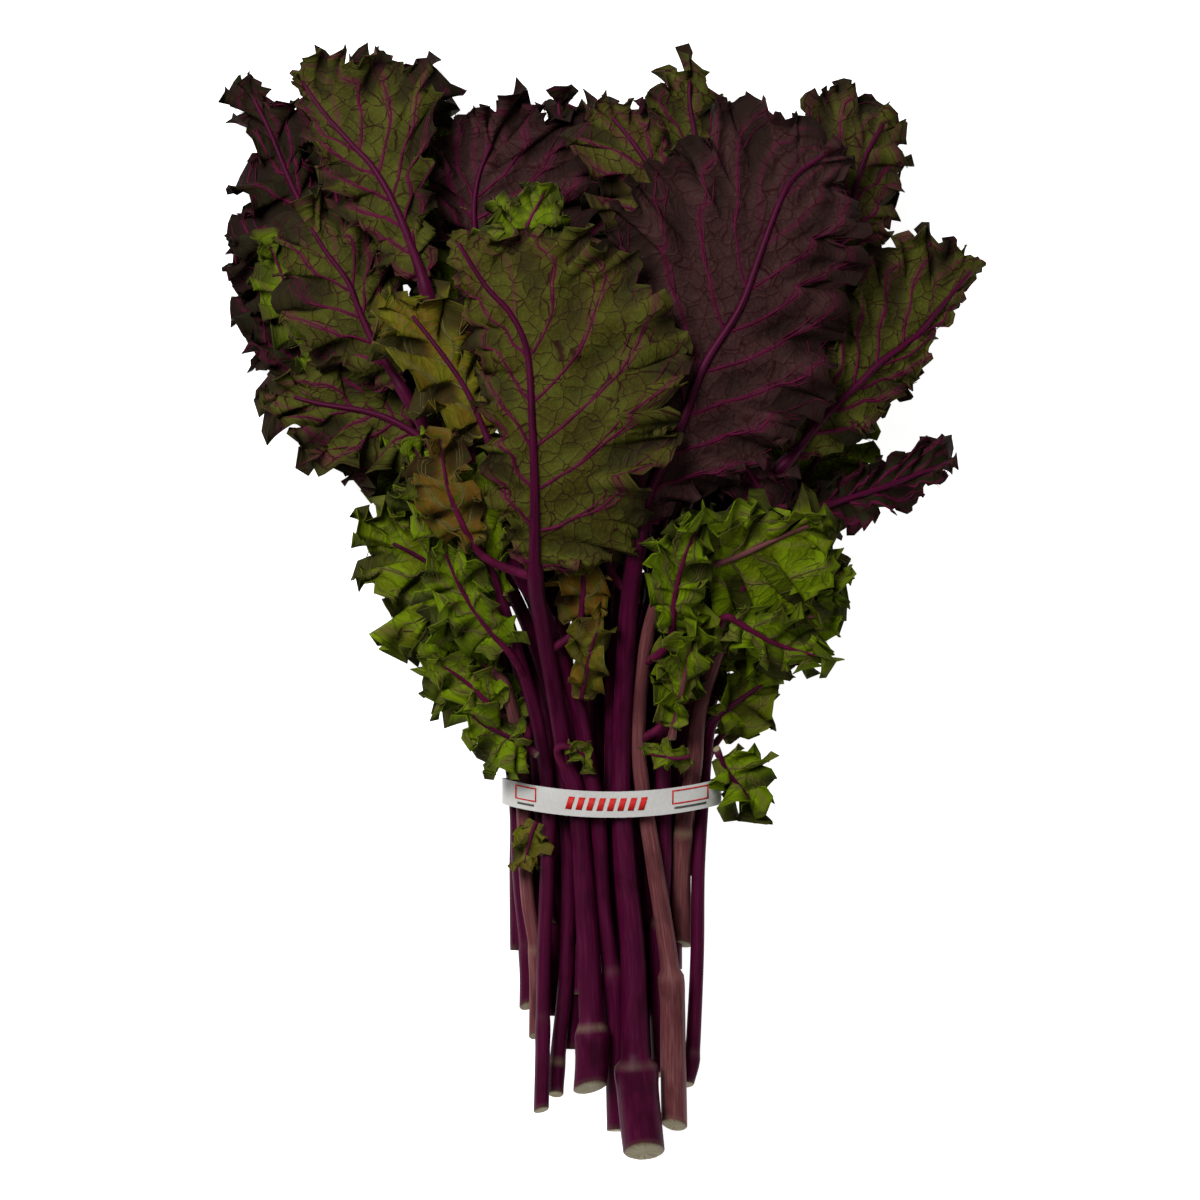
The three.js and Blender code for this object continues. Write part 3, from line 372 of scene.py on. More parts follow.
# Leaves that show only between the others: start and end of the midrib, widths to its left and right,
# its bend, tint, curl, side veins, how far it is purple and dry, and for some the height in the pile.
FILLER_LEAVES = (
    ((-88, 88), (-118, 205), (22, 20), 4, "dark", 1.2, 5, 0.05, 0.0),
    ((-62, 96), (-66, 192), (20, 24), -5, "green", 1.2, 5, 0.35, 0.0),
    ((-40, 112), (-22, 170), (18, 20), 4, "green", 1.4, 4, 0.2, 0.0, 0.86),
    ((-12, 120), (-4, 206), (22, 20), 4, "dark", 1.3, 5, 0.05, 0.0),
    ((-92, 66), (-142, 128), (18, 22), 4, "dark", 1.2, 5, 0.05, 0.0),
    ((-72, 52), (-96, 112), (20, 18), -4, "green", 1.3, 4, 0.2, 0.1),
    ((-52, 30), (-104, 72), (18, 20), 3, "green", 1.3, 4, 0.25, 0.2),
    ((-38, 22), (-62, 82), (16, 18), 3, "yellowing", 1.3, 4, 0.1, 0.5),
    ((-44, -8), (-86, 34), (16, 18), 4, "green", 1.4, 4, 0.05, 0.0),
    ((-44, -34), (-80, 2), (14, 15), -3, "green", 1.4, 4, 0.0, 0.0),
    ((-34, -52), (-62, -20), (12, 12), 3, "green", 1.4, 3, 0.0, 0.1),
    ((-8, -8), (-12, 40), (12, 13), -3, "dry", 1.3, 4, 0.1, 0.6, 0.82),
    ((4, 16), (12, 58), (14, 15), 4, "yellowing", 1.3, 4, 0.3, 0.6),
    ((30, -14), (42, 34), (13, 12), 3, "green", 1.5, 4, 0.0, 0.0, 0.93),
    ((52, -22), (92, -14), (14, 13), -3, "green", 1.5, 4, 0.0, 0.0),
    ((30, -46), (44, -8), (11, 12), 3, "green", 1.5, 3, 0.05, 0.1),
    ((52, -58), (66, -28), (12, 11), -3, "green", 1.5, 3, 0.05, 0.2),
    ((62, 18), (98, 66), (18, 17), 4, "green", 1.4, 4, 0.1, 0.0),
    ((70, 40), (112, 54), (14, 15), 3, "green", 1.4, 4, 0.15, 0.0),
    ((76, 88), (122, 190), (20, 18), 5, "dark", 1.2, 5, 0.05, 0.0),
    ((18, 132), (24, 212), (18, 20), -4, "dark", 1.2, 5, 0.05, 0.0),
    ((92, 84), (134, 120), (16, 17), -4, "olive", 1.1, 4, 0.2, 0.0),
    ((-60, 70), (-40, 128), (18, 16), 4, "dark", 1.3, 4, 0.05, 0.1),
    ((2, 70), (-2, 120), (20, 20), 4, "olive", 1.1, 4, 0.4, 0.1),
    ((-52, 22), (-66, 66), (14, 12), 3, "dry", 1.3, 4, 0.1, 0.5, 0.9),
    ((-20, -66), (-25, 26), (12, 12), 2, "dark", 1.0, 4, 0.05, 0.0, 0.1),
    ((4, -66), (2, 20), (12, 12), -2, "dark", 1.0, 4, 0.05, 0.0, 0.1),
    ((26, -66), (27, 40), (12, 12), 2, "dark", 1.0, 4, 0.05, 0.0, 0.1),
    ((-4, -2), (-2, 56), (20, 20), 2, "dark", 1.0, 4, 0.05, 0.0, 0.12),
    ((-40, -20), (-66, 24), (15, 13), 3, "green", 1.5, 4, 0.05, 0.0, 0.88),
    ((-44, -48), (-70, -26), (12, 10), -2, "green", 1.5, 4, 0.0, 0.1, 0.75),
    ((56, -8), (96, -24), (13, 11), -3, "green", 1.6, 4, 0.05, 0.0, 0.9),
    ((68, 12), (104, 10), (14, 11), 3, "green", 1.6, 4, 0.1, 0.1, 0.75),
    ((-106, 88), (-140, 150), (15, 16), 3, "green", 1.4, 4, 0.3, 0.0),
    ((-4, 162), (-18, 214), (15, 16), 3, "dark", 1.5, 4, 0.05, 0.0),
    ((52, 66), (74, 26), (13, 13), 3, "dusk", 1.4, 4, 0.5, 0.0),
    ((-14, -62), (-4, -70), (6, 6), 2, "green", 0.8, 3, 0.1, 0.3, 1.0),
    ((-64, 118), (-72, 196), (17, 17), 2, "dark", 1.3, 4, 0.05, 0.0),
    ((-50, 30), (-78, 64), (16, 14), 3, "green", 1.2, 4, 0.1, 0.1),
)

# Frills along the margin, from coarse to fine: wavelength, height and reach into the blade in
# millimetres, and how far each folds over sideways.
FRILLS = (
    dict(length=27, height=6.4, reach=24, fold=0.55),
    dict(length=11, height=5.0, reach=11, fold=0.7),
    dict(length=4.9, height=2.3, reach=5, fold=0.85),
)
# How far a frill's waves wander, and how much their height varies over what length.
FRILL_WANDER = 2.6
FRILL_VARIES = 0.6
FRILL_VARIES_OVER = 31

# How deep the blade sags between its side veins, and its broad and small bumps, in millimetres.
SAG = 3.4
BUMPS = ((1.5, 27, 0.0), (0.45, 8, 1.1))

# Teeth and notches along the margin: length, how far they wander, and the row, cell and start of the
# random numbers that they wander by.
TEETH = (9.5, 1.9, 6, 11, 70)
FINE_TEETH = (4.1, 1.5, 7, 5, 110)
NOTCHES = (26, 2.2, 9, 30, 55)
SMALL_NOTCHES = (12.5, 1.7, 11, 15, 25)
NOTCH_DEPTH = 14
SMALL_NOTCH_DEPTH = 4.5

# The side veins: how far they sweep forwards, how soon, and the share of the blade that they start on.
# Each fork leaves its vein at a share of the way to the margin and turns to the tip or to the base.
VEIN_SWEEP = 0.3
VEIN_SOFTEN = 0.1
VEIN_SPAN = 0.74
VEIN_FIRST = 0.12
VEIN_FORKS = ((0.3, 1), (0.5, -1), (0.68, 1))
NET_SCALES = (15.0, 40.0)

# Stems that show only between the others: x at the top, at the tie and at the cut end, y of the cut
# end, height at the tie, radius.
BACK_TOP = -6
BACK_STEMS = (
    (-44, -28, -28, -164, 10, 3.4),
    (-30, -19, -19.5, -178, 9, 3.9),
    (-17, -11, -12, -192, 12, 3.7),
    (-2, -1, 3, -186, 9, 4.0),
    (12, 8, 7, -204, 13, 3.8),
    (30, 20, 22.5, -196, 9, 4.4),
    (46, 30.5, 30.5, -158, 11, 4.2),
    (58, 38.5, 37.5, -118, 9, 3.6),
    (-52, -36, -35, -150, 9, 3.2),
    (20, 14, 14, -176, 8, 4.2),
)
BACK_STEM_DROP = 3
BACK_STEM_FLARE = 0.12
RIB_SIDES = 10

# Heights over the table that blades and frills keep, in millimetres.
SHEET_FLOOR = 0.4
FRILL_FLOOR = 0.45


def smooth(low, high, v):
    t = np.clip((np.asarray(v, float) - low) / (high - low), 0, 1)
    return t * t * (3 - 2 * t)


def mix(a, b, t):
    return a + (b - a) * t


class Line:
    """A smooth line through points of a plan."""

    def __init__(self, points):
        p = np.array(points, float)
        ends = np.clip(np.arange(-1, len(p) + 1), 0, len(p) - 1)
        q = p[ends]
        t = np.arange(SPLINE_STEPS)[:, None] / SPLINE_STEPS
        pieces = []
        for i in range(len(p) - 1):
            a, b, c, d = q[i : i + 4]
            bend = 2 * a - 5 * b + 4 * c - d + t * (3 * (b - c) + d - a)
            pieces.append(b + 0.5 * t * (c - a + t * bend))
        pieces.append(p[-1:])
        self.points = np.concatenate(pieces)
        steps = np.hypot(*np.diff(self.points, axis=0).T)
        self.lengths = np.concatenate([[0], np.cumsum(steps)])
        self.total = self.lengths[-1]

    def at(self, distance):
        x = np.interp(distance, self.lengths, self.points[:, 0])
        y = np.interp(distance, self.lengths, self.points[:, 1])
        return x, y


def pile_top(x, y):
    """The height of the pile's top over a place."""
    height = BUNDLE_HEIGHT + (PILE_HEIGHT - BUNDLE_HEIGHT) * smooth(-75, 70, y)
    height = height - TIPS_DROP * smooth(150, 245, y)
    across = np.clip((x + 5) / PILE_HALF_WIDTH, -0.98, 0.98)
    rounding = PILE_ROUNDING * smooth(-60, 60, y)
    return height * (1 - rounding * (1 - np.sqrt(1 - across * across)))


def circles(centre, sides):
    """Circles of radius 1 across a line at each place, their angles and the line's direction."""
    along = np.gradient(centre, axis=0)
    along /= np.linalg.norm(along, axis=1)[:, None]
    across = np.cross([0, 0, 1], along)
    across /= np.linalg.norm(across, axis=1)[:, None]
    out = np.cross(along, across)
    angle = 2 * math.pi * np.arange(sides) / sides
    ring = across[:, None] * np.cos(angle)[None, :, None] + out[:, None] * np.sin(angle)[None, :, None]
    return ring, angle, along


class Leaf:
    """One leaf's lines, the surface that they span, and its stem."""

    def __init__(self, given):
        self.name = given["name"]
        self.tint = given["tint"]
        self.stem = given.get("stem")
        self.levels = given["levels"]
        self.radii = given.get("radii")
        self.joint = given.get("joint")
        self.waves = given["waves"]
        self.midline = Line(given["route"])
        self.start_y = given["route"][0][1]
        self.base = self.midline.lengths[given.get("base", 0) * SPLINE_STEPS]
        at_tie = int(np.argmax(self.midline.points[:, 1] >= TIE_Y))
        self.tie = self.midline.lengths[at_tie] if self.start_y < TIE_Y else 0
        self.total = self.midline.total
        self.margins = {side: self.margin(given, side) for side in (1, -1)}
        self.look = dict(zip(LOOK_KEYS, LOOKS[self.name]))
        self.seed = sum(map(ord, self.name)) * 7 + 3
        draw = np.random.default_rng(self.seed)
        self.chance = draw.uniform(-1, 1, (12, 512))
        self.swirl = draw.uniform(0, 2 * math.pi, 12)

    def margin(self, given, side):
        x, y = self.midline.at(self.base)
        ax, ay = self.midline.at(self.base + 2)
        turn = side * BASE_HALF_WIDTH / math.hypot(ax - x, ay - y)
        start = (x - (ay - y) * turn, y + (ax - x) * turn)
        inner = given["left"] if side > 0 else given["right"]
        return Line((start,) + tuple(inner) + (given["tip"],))

    def level(self, distance):
        distance = np.asarray(distance, float)
        a, b, c, d = (0,) * (4 - len(self.levels)) + tuple(self.levels)
        below = mix(a, b, distance / self.tie) if self.tie > 0 else a
        held = mix(b, c, smooth(self.tie, self.base, distance)) if self.base > self.tie else c
        blade = mix(c, d, (distance - self.base) / (self.total - self.base))
        below_tie = (distance < self.tie) & (self.tie > 0)
        return np.where(below_tie, below, np.where(distance < self.base, held, blade))

    def noise(self, row, place):
        """Smooth random numbers from -1 to 1 along a line, a new one at each whole number."""
        n = self.chance.shape[1]
        cell = np.floor(place)
        t = place - cell
        t = t * t * (3 - 2 * t)
        i = cell.astype(int) % n
        return mix(self.chance[row][i], self.chance[row][(i + 1) % n], t)

    def teeth(self, along, kind):
        """Peaks of 1 along the margin, with valleys down to 0 between them."""
        length, wander, row, cell, first = kind
        return 1 - np.abs(np.sin(math.pi * along / length + wander * self.noise(row, along / cell + first)))

    def swell(self, x, y, size, first):
        """Gentle bumps of about that size over the plan."""
        total = 0
        for k in range(4):
            turn = self.swirl[k] + first
            wave = 2 * math.pi * (x * math.cos(turn) + y * math.sin(turn)) / (size * (1 + 0.23 * k))
            total = total + np.sin(wave + self.swirl[4 + k])
        return total / 4

    def vein_place(self, u, s):
        """This is a whole number on each side vein."""
        b = VEIN_SOFTEN + VEIN_SWEEP * s**1.1 - u
        first = 0.5 * (np.sqrt(b * b + 4 * u * VEIN_SOFTEN) - b)
        return first / VEIN_SPAN * self.look["veins"] - VEIN_FIRST

    def vein_path(self, k, s):
        first = (k + VEIN_FIRST) * VEIN_SPAN / self.look["veins"]
        return first + VEIN_SWEEP * first / (first + VEIN_SOFTEN) * s**1.1

    def sheet(self, side, u, s):
        """The leaf's plain form: u from the base to the tip, s from the midrib to the margin."""
        margin = self.margins[side]
        foot = self.base + (self.total - self.base) * u**1.1
        fx, fy = self.midline.at(foot)
        mx, my = margin.at(margin.total * u)
        width = np.hypot(mx - fx, my - fy)
        phase = self.waves * u + (0.2 if side > 0 else 0.65)
        ends = smooth(0, 0.08, u) * (1 - smooth(0.9, 1, u))
        lobe = ends * LOBE_DEPTH * np.sin(2 * math.pi * (1.9 * phase + 0.3))
        reach = s * (1 + lobe / np.maximum(width, 8))
        x = mix(fx, mx, reach)
        y = mix(fy, my, reach)
        top = pile_top(x, y)
        height = RUFFLE * top / PILE_HEIGHT * np.minimum(1, width / 24)
        swings = np.sin(2 * math.pi * phase) + 0.35 * np.sin(2 * math.pi * (0.37 * phase + 0.1))
        z = np.maximum(top * self.level(foot) + ends * height * s * s * swings, SHEET_FLOOR)
        return x, y, z, width, (mx - fx) / width, (my - fy) / width

    def surface(self, side, u, s, room=None):
        """The sheet with its frills, teeth and the bulges between its veins."""
        u, s = np.broadcast_arrays(np.asarray(u, float), np.asarray(s, float))
        x, y, z, width, ox, oy = self.sheet(side, u, s)
        curl = self.look["curl"]
        long_way = self.margins[side].total
        along = side * (1 - u) * long_way
        inward = (1 - s) * width
        free = smooth(0, 0.3, s) * smooth(0, 0.06, u) * (0.5 + 0.5 * np.minimum(1, width / 30))
        up = np.zeros_like(x)
        out = np.zeros_like(x)
        sideways = np.zeros_like(x)
        for k, frill in enumerate(FRILLS):
            length = frill["length"]
            turn = 2 * math.pi * along / length + FRILL_WANDER * self.noise(k, along / length * 0.8 + 60)
            strong = 0.8 + FRILL_VARIES * self.noise(k + 3, along / FRILL_VARIES_OVER + 90 + 20 * k)
            reach = frill["reach"] * np.minimum(1, 0.3 + width / 60)
            size = curl * frill["height"] * strong * free * np.exp(-inward / reach)
            up += size * np.sin(turn)
            sideways += frill["fold"] * size * np.sin(2 * turn + 0.6)
            out += 0.4 * size * np.cos(turn + 0.8)
        rim = np.exp(-inward / 5) * smooth(0, 0.05, u)
        tooth = self.teeth(along, TEETH)
        fine = self.teeth(along, FINE_TEETH)
        uneven = self.noise(8, along / 17 + 40)
        out += rim * (2.6 * (tooth - 0.45) + 1.7 * (fine - 0.45) + 2.0 * uneven) * (0.6 + 0.4 * curl)
        cut = self.teeth(along, NOTCHES)
        second = self.teeth(along, SMALL_NOTCHES)
        depth = SMALL_NOTCH_DEPTH * np.minimum(1, width / 25)
        out -= depth * np.exp(-inward / 9) * smooth(0.05, 0.15, u) * second**2.2
        depth = NOTCH_DEPTH * np.minimum(1, width / 45) * (0.7 + 0.6 * self.noise(10, along / 40 + 35))
        out -= depth * smooth(0.25, 1, s) * smooth(0.05, 0.15, u) * cut**2.5

        # The blade sags between its side veins, which stay high on this face.
        place = self.vein_place(u, s)
        gap = np.abs(place - np.round(place))
        flat = smooth(0.02, 0.3, s) * smooth(0, 0.1, u) * (1 - smooth(0.88, 1, u))
        up -= SAG * (0.3 + 0.7 * s) * np.minimum(1, width / 35) * flat * np.sin(math.pi * gap) ** 2
        for height, size, turn in BUMPS:
            up += height * self.swell(x, y, size, turn) * flat
        if room is not None:
            high, low = room.limits(self, x, y)
            high, low = np.maximum(high, 0.05), np.maximum(low, 0.05)
            up = np.where(up > 0, high * np.tanh(up / high), low * np.tanh(up / low))
        z = np.clip(z + up, FRILL_FLOOR, HIGHEST)
        x = x + ox * out + oy * sideways
        y = y + oy * out - ox * sideways
        near = gap * VEIN_SPAN / self.look["veins"] * long_way * 0.8
        near = np.minimum(near, s * width)
        # fold falls to 0 where the blade dips; the blade material paints shade there.
        fold = smooth(-4.5, 0.5, up)
        return x, y, z, near, fold

    def stem_rings(self, step, sides, finish=True):
        """Rings of the stem, from its cut end along the stalk to the end of the midrib."""
        count = max(8, int(self.total / step))
        d = np.linspace(0, self.total - 0.5, count + 1)
        foot, held, start = self.radii
        x, y = self.midline.at(d)
        stalk = 1 - smooth(self.joint, self.joint + 4, y)
        taper = mix(mix(held, foot, 0.6), held, d / self.tie) if self.tie > 0 else held
        lower = mix(taper, foot, stalk)
        upper = mix(held, start, np.clip((d - self.tie) / (self.base - self.tie), 0, 1))
        share = np.clip((d - self.base) / (self.total - self.base), 0, 1)
        rib = mix(0.8 * start, 0.8, np.sqrt(share))
        below_tie = (d < self.tie) & (self.tie > 0)
        r = np.where(below_tie, lower, np.where(d < self.base, upper, rib))
        on_blade = smooth(self.base - 12, self.base + 2, d)
        z = pile_top(x, y) * self.level(d)
        centre = np.stack([x, y, z + on_blade * (0.3 + 0.25 * r)], -1)
        ring, angle, along = circles(centre, sides)
        pale = np.zeros(len(d))
        if finish:
            # The stalk swells a little under its joint, and a pale scar runs round it there.
            swelling = np.exp(-(((y - self.joint + 3) / 5) ** 2)) * (self.start_y < self.joint)
            r = r * (1 + 0.07 * swelling + 0.02 * np.sin(d / 17 + self.seed))
            pale = 0.3 * np.exp(-(((y - self.joint - 1.5) / 0.9) ** 2)) * (self.start_y < self.joint)
        wide = (1 + 0.05 * np.cos(2 * angle[None, :] + self.swirl[0])) if finish else 1.0
        ridge = (1 + 0.018 * np.sin(7 * angle[None, :] + self.swirl[1])) if finish else 1.0
        reach = r[:, None] * wide * ridge
        places = centre[:, None] + ring * reach[..., None]
        if finish:
            fade = np.clip(1 - d / (5 * foot), 0, 1)[:, None] * self.slant(angle, 1.0)[None, :]
            places = places + along[:, None] * fade[..., None]
        return places, d, r, pale, centre, along, ring

    def slant(self, angle, inset):
        """How far the slanted cut lies above the stem's end, for a ring of that share of its radius."""
        tilt = 0.45 + 0.2 * math.sin(self.swirl[5])
        turn = 0.6 * math.sin(self.swirl[6])
        return self.radii[0] * tilt * (1 + inset * np.sin(angle + turn))


def filler(name, start, end, widths, bend, tint, curl, veins, purple, dry, level=None):
    """A leaf of the pile that shows only in part: its midrib bends once and its sides are round."""
    start, end = np.array(start, float), np.array(end, float)
    along = end - start
    left = np.array([-along[1], along[0]]) / np.hypot(*along)
    t = np.linspace(0, 1, 5)
    middle = start + np.outer(t, along) + np.outer(bend * np.sin(math.pi * t), left)
    share = np.array([0.03, 0.16, 0.36, 0.6, 0.82, 0.96])
    spread = np.array([0.55, 0.9, 1.0, 0.95, 0.7, 0.35])
    core = start + np.outer(share, along) * 1.08 + np.outer(bend * np.sin(math.pi * share), left)
    LOOKS[name] = (curl, veins, purple, dry)
    leaf = Leaf(
        dict(
            name=name,
            tint=tint,
            route=tuple(map(tuple, middle)),
            left=tuple(map(tuple, core + np.outer(widths[0] * spread, left))),
            right=tuple(map(tuple, core - np.outer(widths[1] * spread, left))),
            tip=tuple(end + along * 0.12),
            levels=(level or 0.5,) * 2,
            waves=4,
        )
    )
    leaf.placed = level is not None
    return leaf


LEAF_LINES = [Leaf(given) for given in LEAVES + LEAFLETS]
BIG_LEAVES = [leaf for leaf in LEAF_LINES if leaf.radii]
SMALL_LEAVES = [leaf for leaf in LEAF_LINES if not leaf.radii]
FILLERS = [filler(f"filler_{number:02d}", *given) for number, given in enumerate(FILLER_LEAVES, 1)]


class Room:
    """How far each blade may curl up or down before it meets the leaf over or under it."""

    CELL = 1.5
    LOW = (-200.0, -260.0)
    SHAPE = (268, 350)

    # The free height where no other leaf is near, the share that a frill may take, how steeply it may
    # change, and the rounds that spread it.
    FAR = 30.0
    MEETING = 0.3
    SHARE = 0.46
    SLOPE = 0.5
    ROUNDS = 14

    # What counts in the choice of a filler's height in the pile.
    LEVELS = (0.12, 0.9, 53)
    GAP_SEEN = 9.0
    GAP_WANTED = 5
    GAP_CLOSE = 0.8
    CLOSE_COST = 6
    HEIGHT_GAIN = 2.5
    HIDING_COST = 9

    def __init__(self, leaves, fillers):
        layers = {}
        u = np.linspace(0, 1, 300)[None, :]
        s = np.linspace(0, 1, 90)[:, None]
        for leaf in leaves:
            x, y, z = self.spread(leaf, u, s)
            layers[leaf.name] = self.layer(x, y, z, z)
            if leaf.radii:
                rings = leaf.stem_rings(1.0, 12, finish=False)[0]
                x, y, z = rings[..., 0], rings[..., 1], rings[..., 2]
                low = np.broadcast_to(z.min(1)[:, None], z.shape)
                high = np.broadcast_to(z.max(1)[:, None], z.shape)
                layers[leaf.name + " stem"] = self.layer(x, y, low, high)
        self.layers = layers
        for leaf in fillers:
            self.place(leaf, u, s)
        self.fields = {leaf.name: self.free_height(leaf.name, layers) for leaf in leaves + fillers}

    def place(self, leaf, u, s):
        """Puts a filler where it shows only between the leaves, away from those over and under it."""
        best = None
        traced = [self.layers[other.name][1] for other in LEAF_LINES]
        roof = np.max(traced, axis=0)
        for level in leaf.levels[:1] if leaf.placed else np.linspace(*self.LEVELS):
            leaf.levels = (level, level)
            x, y, z = self.spread(leaf, u[:, ::5], s[::4])
            i, j = self.cell(x, y)
            gap = np.full(x.shape, self.GAP_SEEN)
            for lowest, highest in self.layers.values():
                low, high = lowest[i, j], highest[i, j]
                apart = np.where(z < low, low - z, np.where(z > high, z - high, 0.0))
                gap = np.minimum(gap, np.where(np.isfinite(low), apart, self.GAP_SEEN))
            hiding = (z > roof[i, j]) & np.isfinite(roof[i, j])
            score = np.minimum(gap, self.GAP_WANTED).mean()
            score -= self.CLOSE_COST * (gap < self.GAP_CLOSE).mean()
            score += self.HEIGHT_GAIN * level
            score -= self.HIDING_COST * hiding.mean()
            if best is None or score > best[0]:
                best = (score, level)
        leaf.levels = (best[1], best[1])
        x, y, z = self.spread(leaf, u, s)
        self.layers[leaf.name] = self.layer(x, y, z, z)

    def spread(self, leaf, u, s):
        """Places all over both halves of a leaf's plain form."""
        halves = [leaf.sheet(side, u, s)[:3] for side in (1, -1)]
        return [np.concatenate([a.ravel(), b.ravel()]) for a, b in zip(*halves)]

    def cell(self, x, y):
        i = np.clip(((x - self.LOW[0]) / self.CELL).astype(int), 0, self.SHAPE[0] - 1)
        j = np.clip(((y - self.LOW[1]) / self.CELL).astype(int), 0, self.SHAPE[1] - 1)
        return i, j

    def layer(self, x, y, low, high):
        """The lowest and highest point of a leaf or stem over each cell."""
        i, j = self.cell(x, y)
        lowest = np.full(self.SHAPE, np.inf)
        highest = np.full(self.SHAPE, -np.inf)
        np.minimum.at(lowest, (i, j), low)
        np.maximum.at(highest, (i, j), high)
        return lowest, highest

    def free_height(self, name, layers):
        """How far a leaf may rise and sink over each cell."""
        low, high = layers[name]
        here = np.isfinite(low)
        middle = np.where(here, 0.5 * (np.where(here, low, 0) + np.where(here, high, 0)), 0)
        up = np.full(self.SHAPE, self.FAR)
        down = np.full(self.SHAPE, self.FAR)
        for other, (lowest, highest) in layers.items():
            if other.split(" ")[0] == name:
                continue
            both = here & np.isfinite(lowest)
            over = np.where(both, lowest - middle, 0)
            under = np.where(both, middle - highest, 0)
            up = np.where(over > 0, np.minimum(up, over), up)
            down = np.where(under > 0, np.minimum(down, under), down)
            meet = both & (over <= 0) & (under <= 0)
            up[meet] = self.MEETING
            down[meet] = self.MEETING
        return [self.soften(self.SHARE * up), self.soften(self.SHARE * down)]

    def soften(self, field):
        """Lets the free height change by no more than a gentle slope."""
        for _ in range(self.ROUNDS):
            for axis in (0, 1):
                for step in (1, -1):
                    field = np.minimum(field, np.roll(field, step, axis) + self.SLOPE * self.CELL)
        return field

    def limits(self, leaf, x, y):
        """The free height up and down at a leaf's own places."""
        u = np.clip((x - self.LOW[0]) / self.CELL - 0.5, 0, self.SHAPE[0] - 1.001)
        v = np.clip((y - self.LOW[1]) / self.CELL - 0.5, 0, self.SHAPE[1] - 1.001)
        i, j = u.astype(int), v.astype(int)
        a, b = u - i, v - j
        found = []
        for field in self.fields[leaf.name]:
            low = mix(field[i, j], field[i + 1, j], a)
            high = mix(field[i, j + 1], field[i + 1, j + 1], a)
            found.append(mix(low, high, b))
        return found


ROOM = Room(LEAF_LINES, FILLERS)


def tie_outline(grow, steps):
    """Points round the tie's outline, seen along the stems, as x and z."""
    angle = 2 * math.pi * (np.arange(steps) + 0.5) / steps
    power = 2 / TIE_ROUNDNESS
    c, s = np.cos(angle), np.sin(angle)
    half = BUNDLE_HEIGHT / 2
    x = np.sign(c) * np.abs(c) ** power * (TIE_HALF_WIDTH + grow)
    z = half + np.sign(s) * np.abs(s) ** power * (half + grow)
    return x, z


def frame_shift():
    """The solids stand with their origin under their middle, so these lines are moved there too."""
    x, _ = tie_outline(TIE_THICKNESS, 44)
    low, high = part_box("tie")
    first = TIE_MIDDLE_Y + TIE_BOW * np.min(x * x) - TIE_WIDTH / 2
    return np.array([(low[0] + high[0]) / 2 / MM - TIE_MIDDLE_X, low[1] / MM - first, 0.0])


SHIFT = frame_shift()
MERGE = 2e-6


def deselect():
    bpy.ops.object.select_all(action="DESELECT")


def choose(piece):
    deselect()
    piece.select_set(True)
    bpy.context.view_layer.objects.active = piece


def edit_whole(step, **settings):
    """Runs one edit step on all of the active piece's mesh."""
    bpy.ops.object.mode_set(mode="EDIT")
    bpy.ops.mesh.select_all(action="SELECT")
    step(**settings)
    bpy.ops.object.mode_set(mode="OBJECT")


def grid_piece(name, places, wrap=False, marks=None, uv=None):
    """A grid laid on rows by columns of places in millimetres, with its doubles merged."""
    marks = dict(marks or {})
    if wrap:
        places = np.concatenate([places, places[:, :1]], 1)
        marks = {key: np.concatenate([v, v[:, :1]], 1) for key, v in marks.items()}
    rows, columns = places.shape[:2]
    deselect()
    bpy.ops.mesh.primitive_grid_add(x_subdivisions=columns - 1, y_subdivisions=rows - 1, size=1)
    piece = bpy.context.object
    piece.name = name
    mesh = piece.data
    mesh.name = name
    mesh.vertices.foreach_set("co", ((places + SHIFT) * MM).astype(np.float32).ravel())
    for key, values in marks.items():
        layer = mesh.attributes.new(key, "FLOAT", "POINT")
        layer.data.foreach_set("value", np.broadcast_to(values, (rows, columns)).astype(np.float32).ravel())
    if uv is not None:
        corner = np.empty(len(mesh.loops), np.int32)
        mesh.loops.foreach_get("vertex_index", corner)
        layer = mesh.uv_layers.active
        layer.data.foreach_set("uv", uv.reshape(-1, 2)[corner].astype(np.float32).ravel())
    mesh.update()
    edit_whole(bpy.ops.mesh.remove_doubles, threshold=MERGE)
    return piece


def face_out(piece, close=False):
    """Closes a tube's open ends where asked, and turns the faces outwards."""
    choose(piece)
    if close:
        edit_whole(bpy.ops.mesh.fill_holes, sides=0)
    edit_whole(bpy.ops.mesh.normals_make_consistent, inside=False)
    bpy.ops.object.shade_smooth()


def thicken(piece, thickness, offset):
    """Gives a sheet a thickness, from -1 behind it to 1 in front of it."""
    choose(piece)
    wall = piece.modifiers.new("Wall", "SOLIDIFY")
    wall.thickness = thickness
    wall.offset = offset
    wall.use_even_offset = False
    bpy.ops.object.modifier_apply(modifier=wall.name)
    bpy.ops.object.shade_smooth()


def settle(piece, material, node=None):
    """Gives a finished piece its material, hangs it on the root body, and hides the part's node that it
    stands for.
    """
    piece.data.materials.clear()
    piece.data.materials.append(material)
    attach(piece, "root")
    if node:
        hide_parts(node)


# Dried leaves share a slot with the yellowing ones. Fresh leaves have pale green veins.
FRESH_TINTS = ("green", "yellowing", "dry")


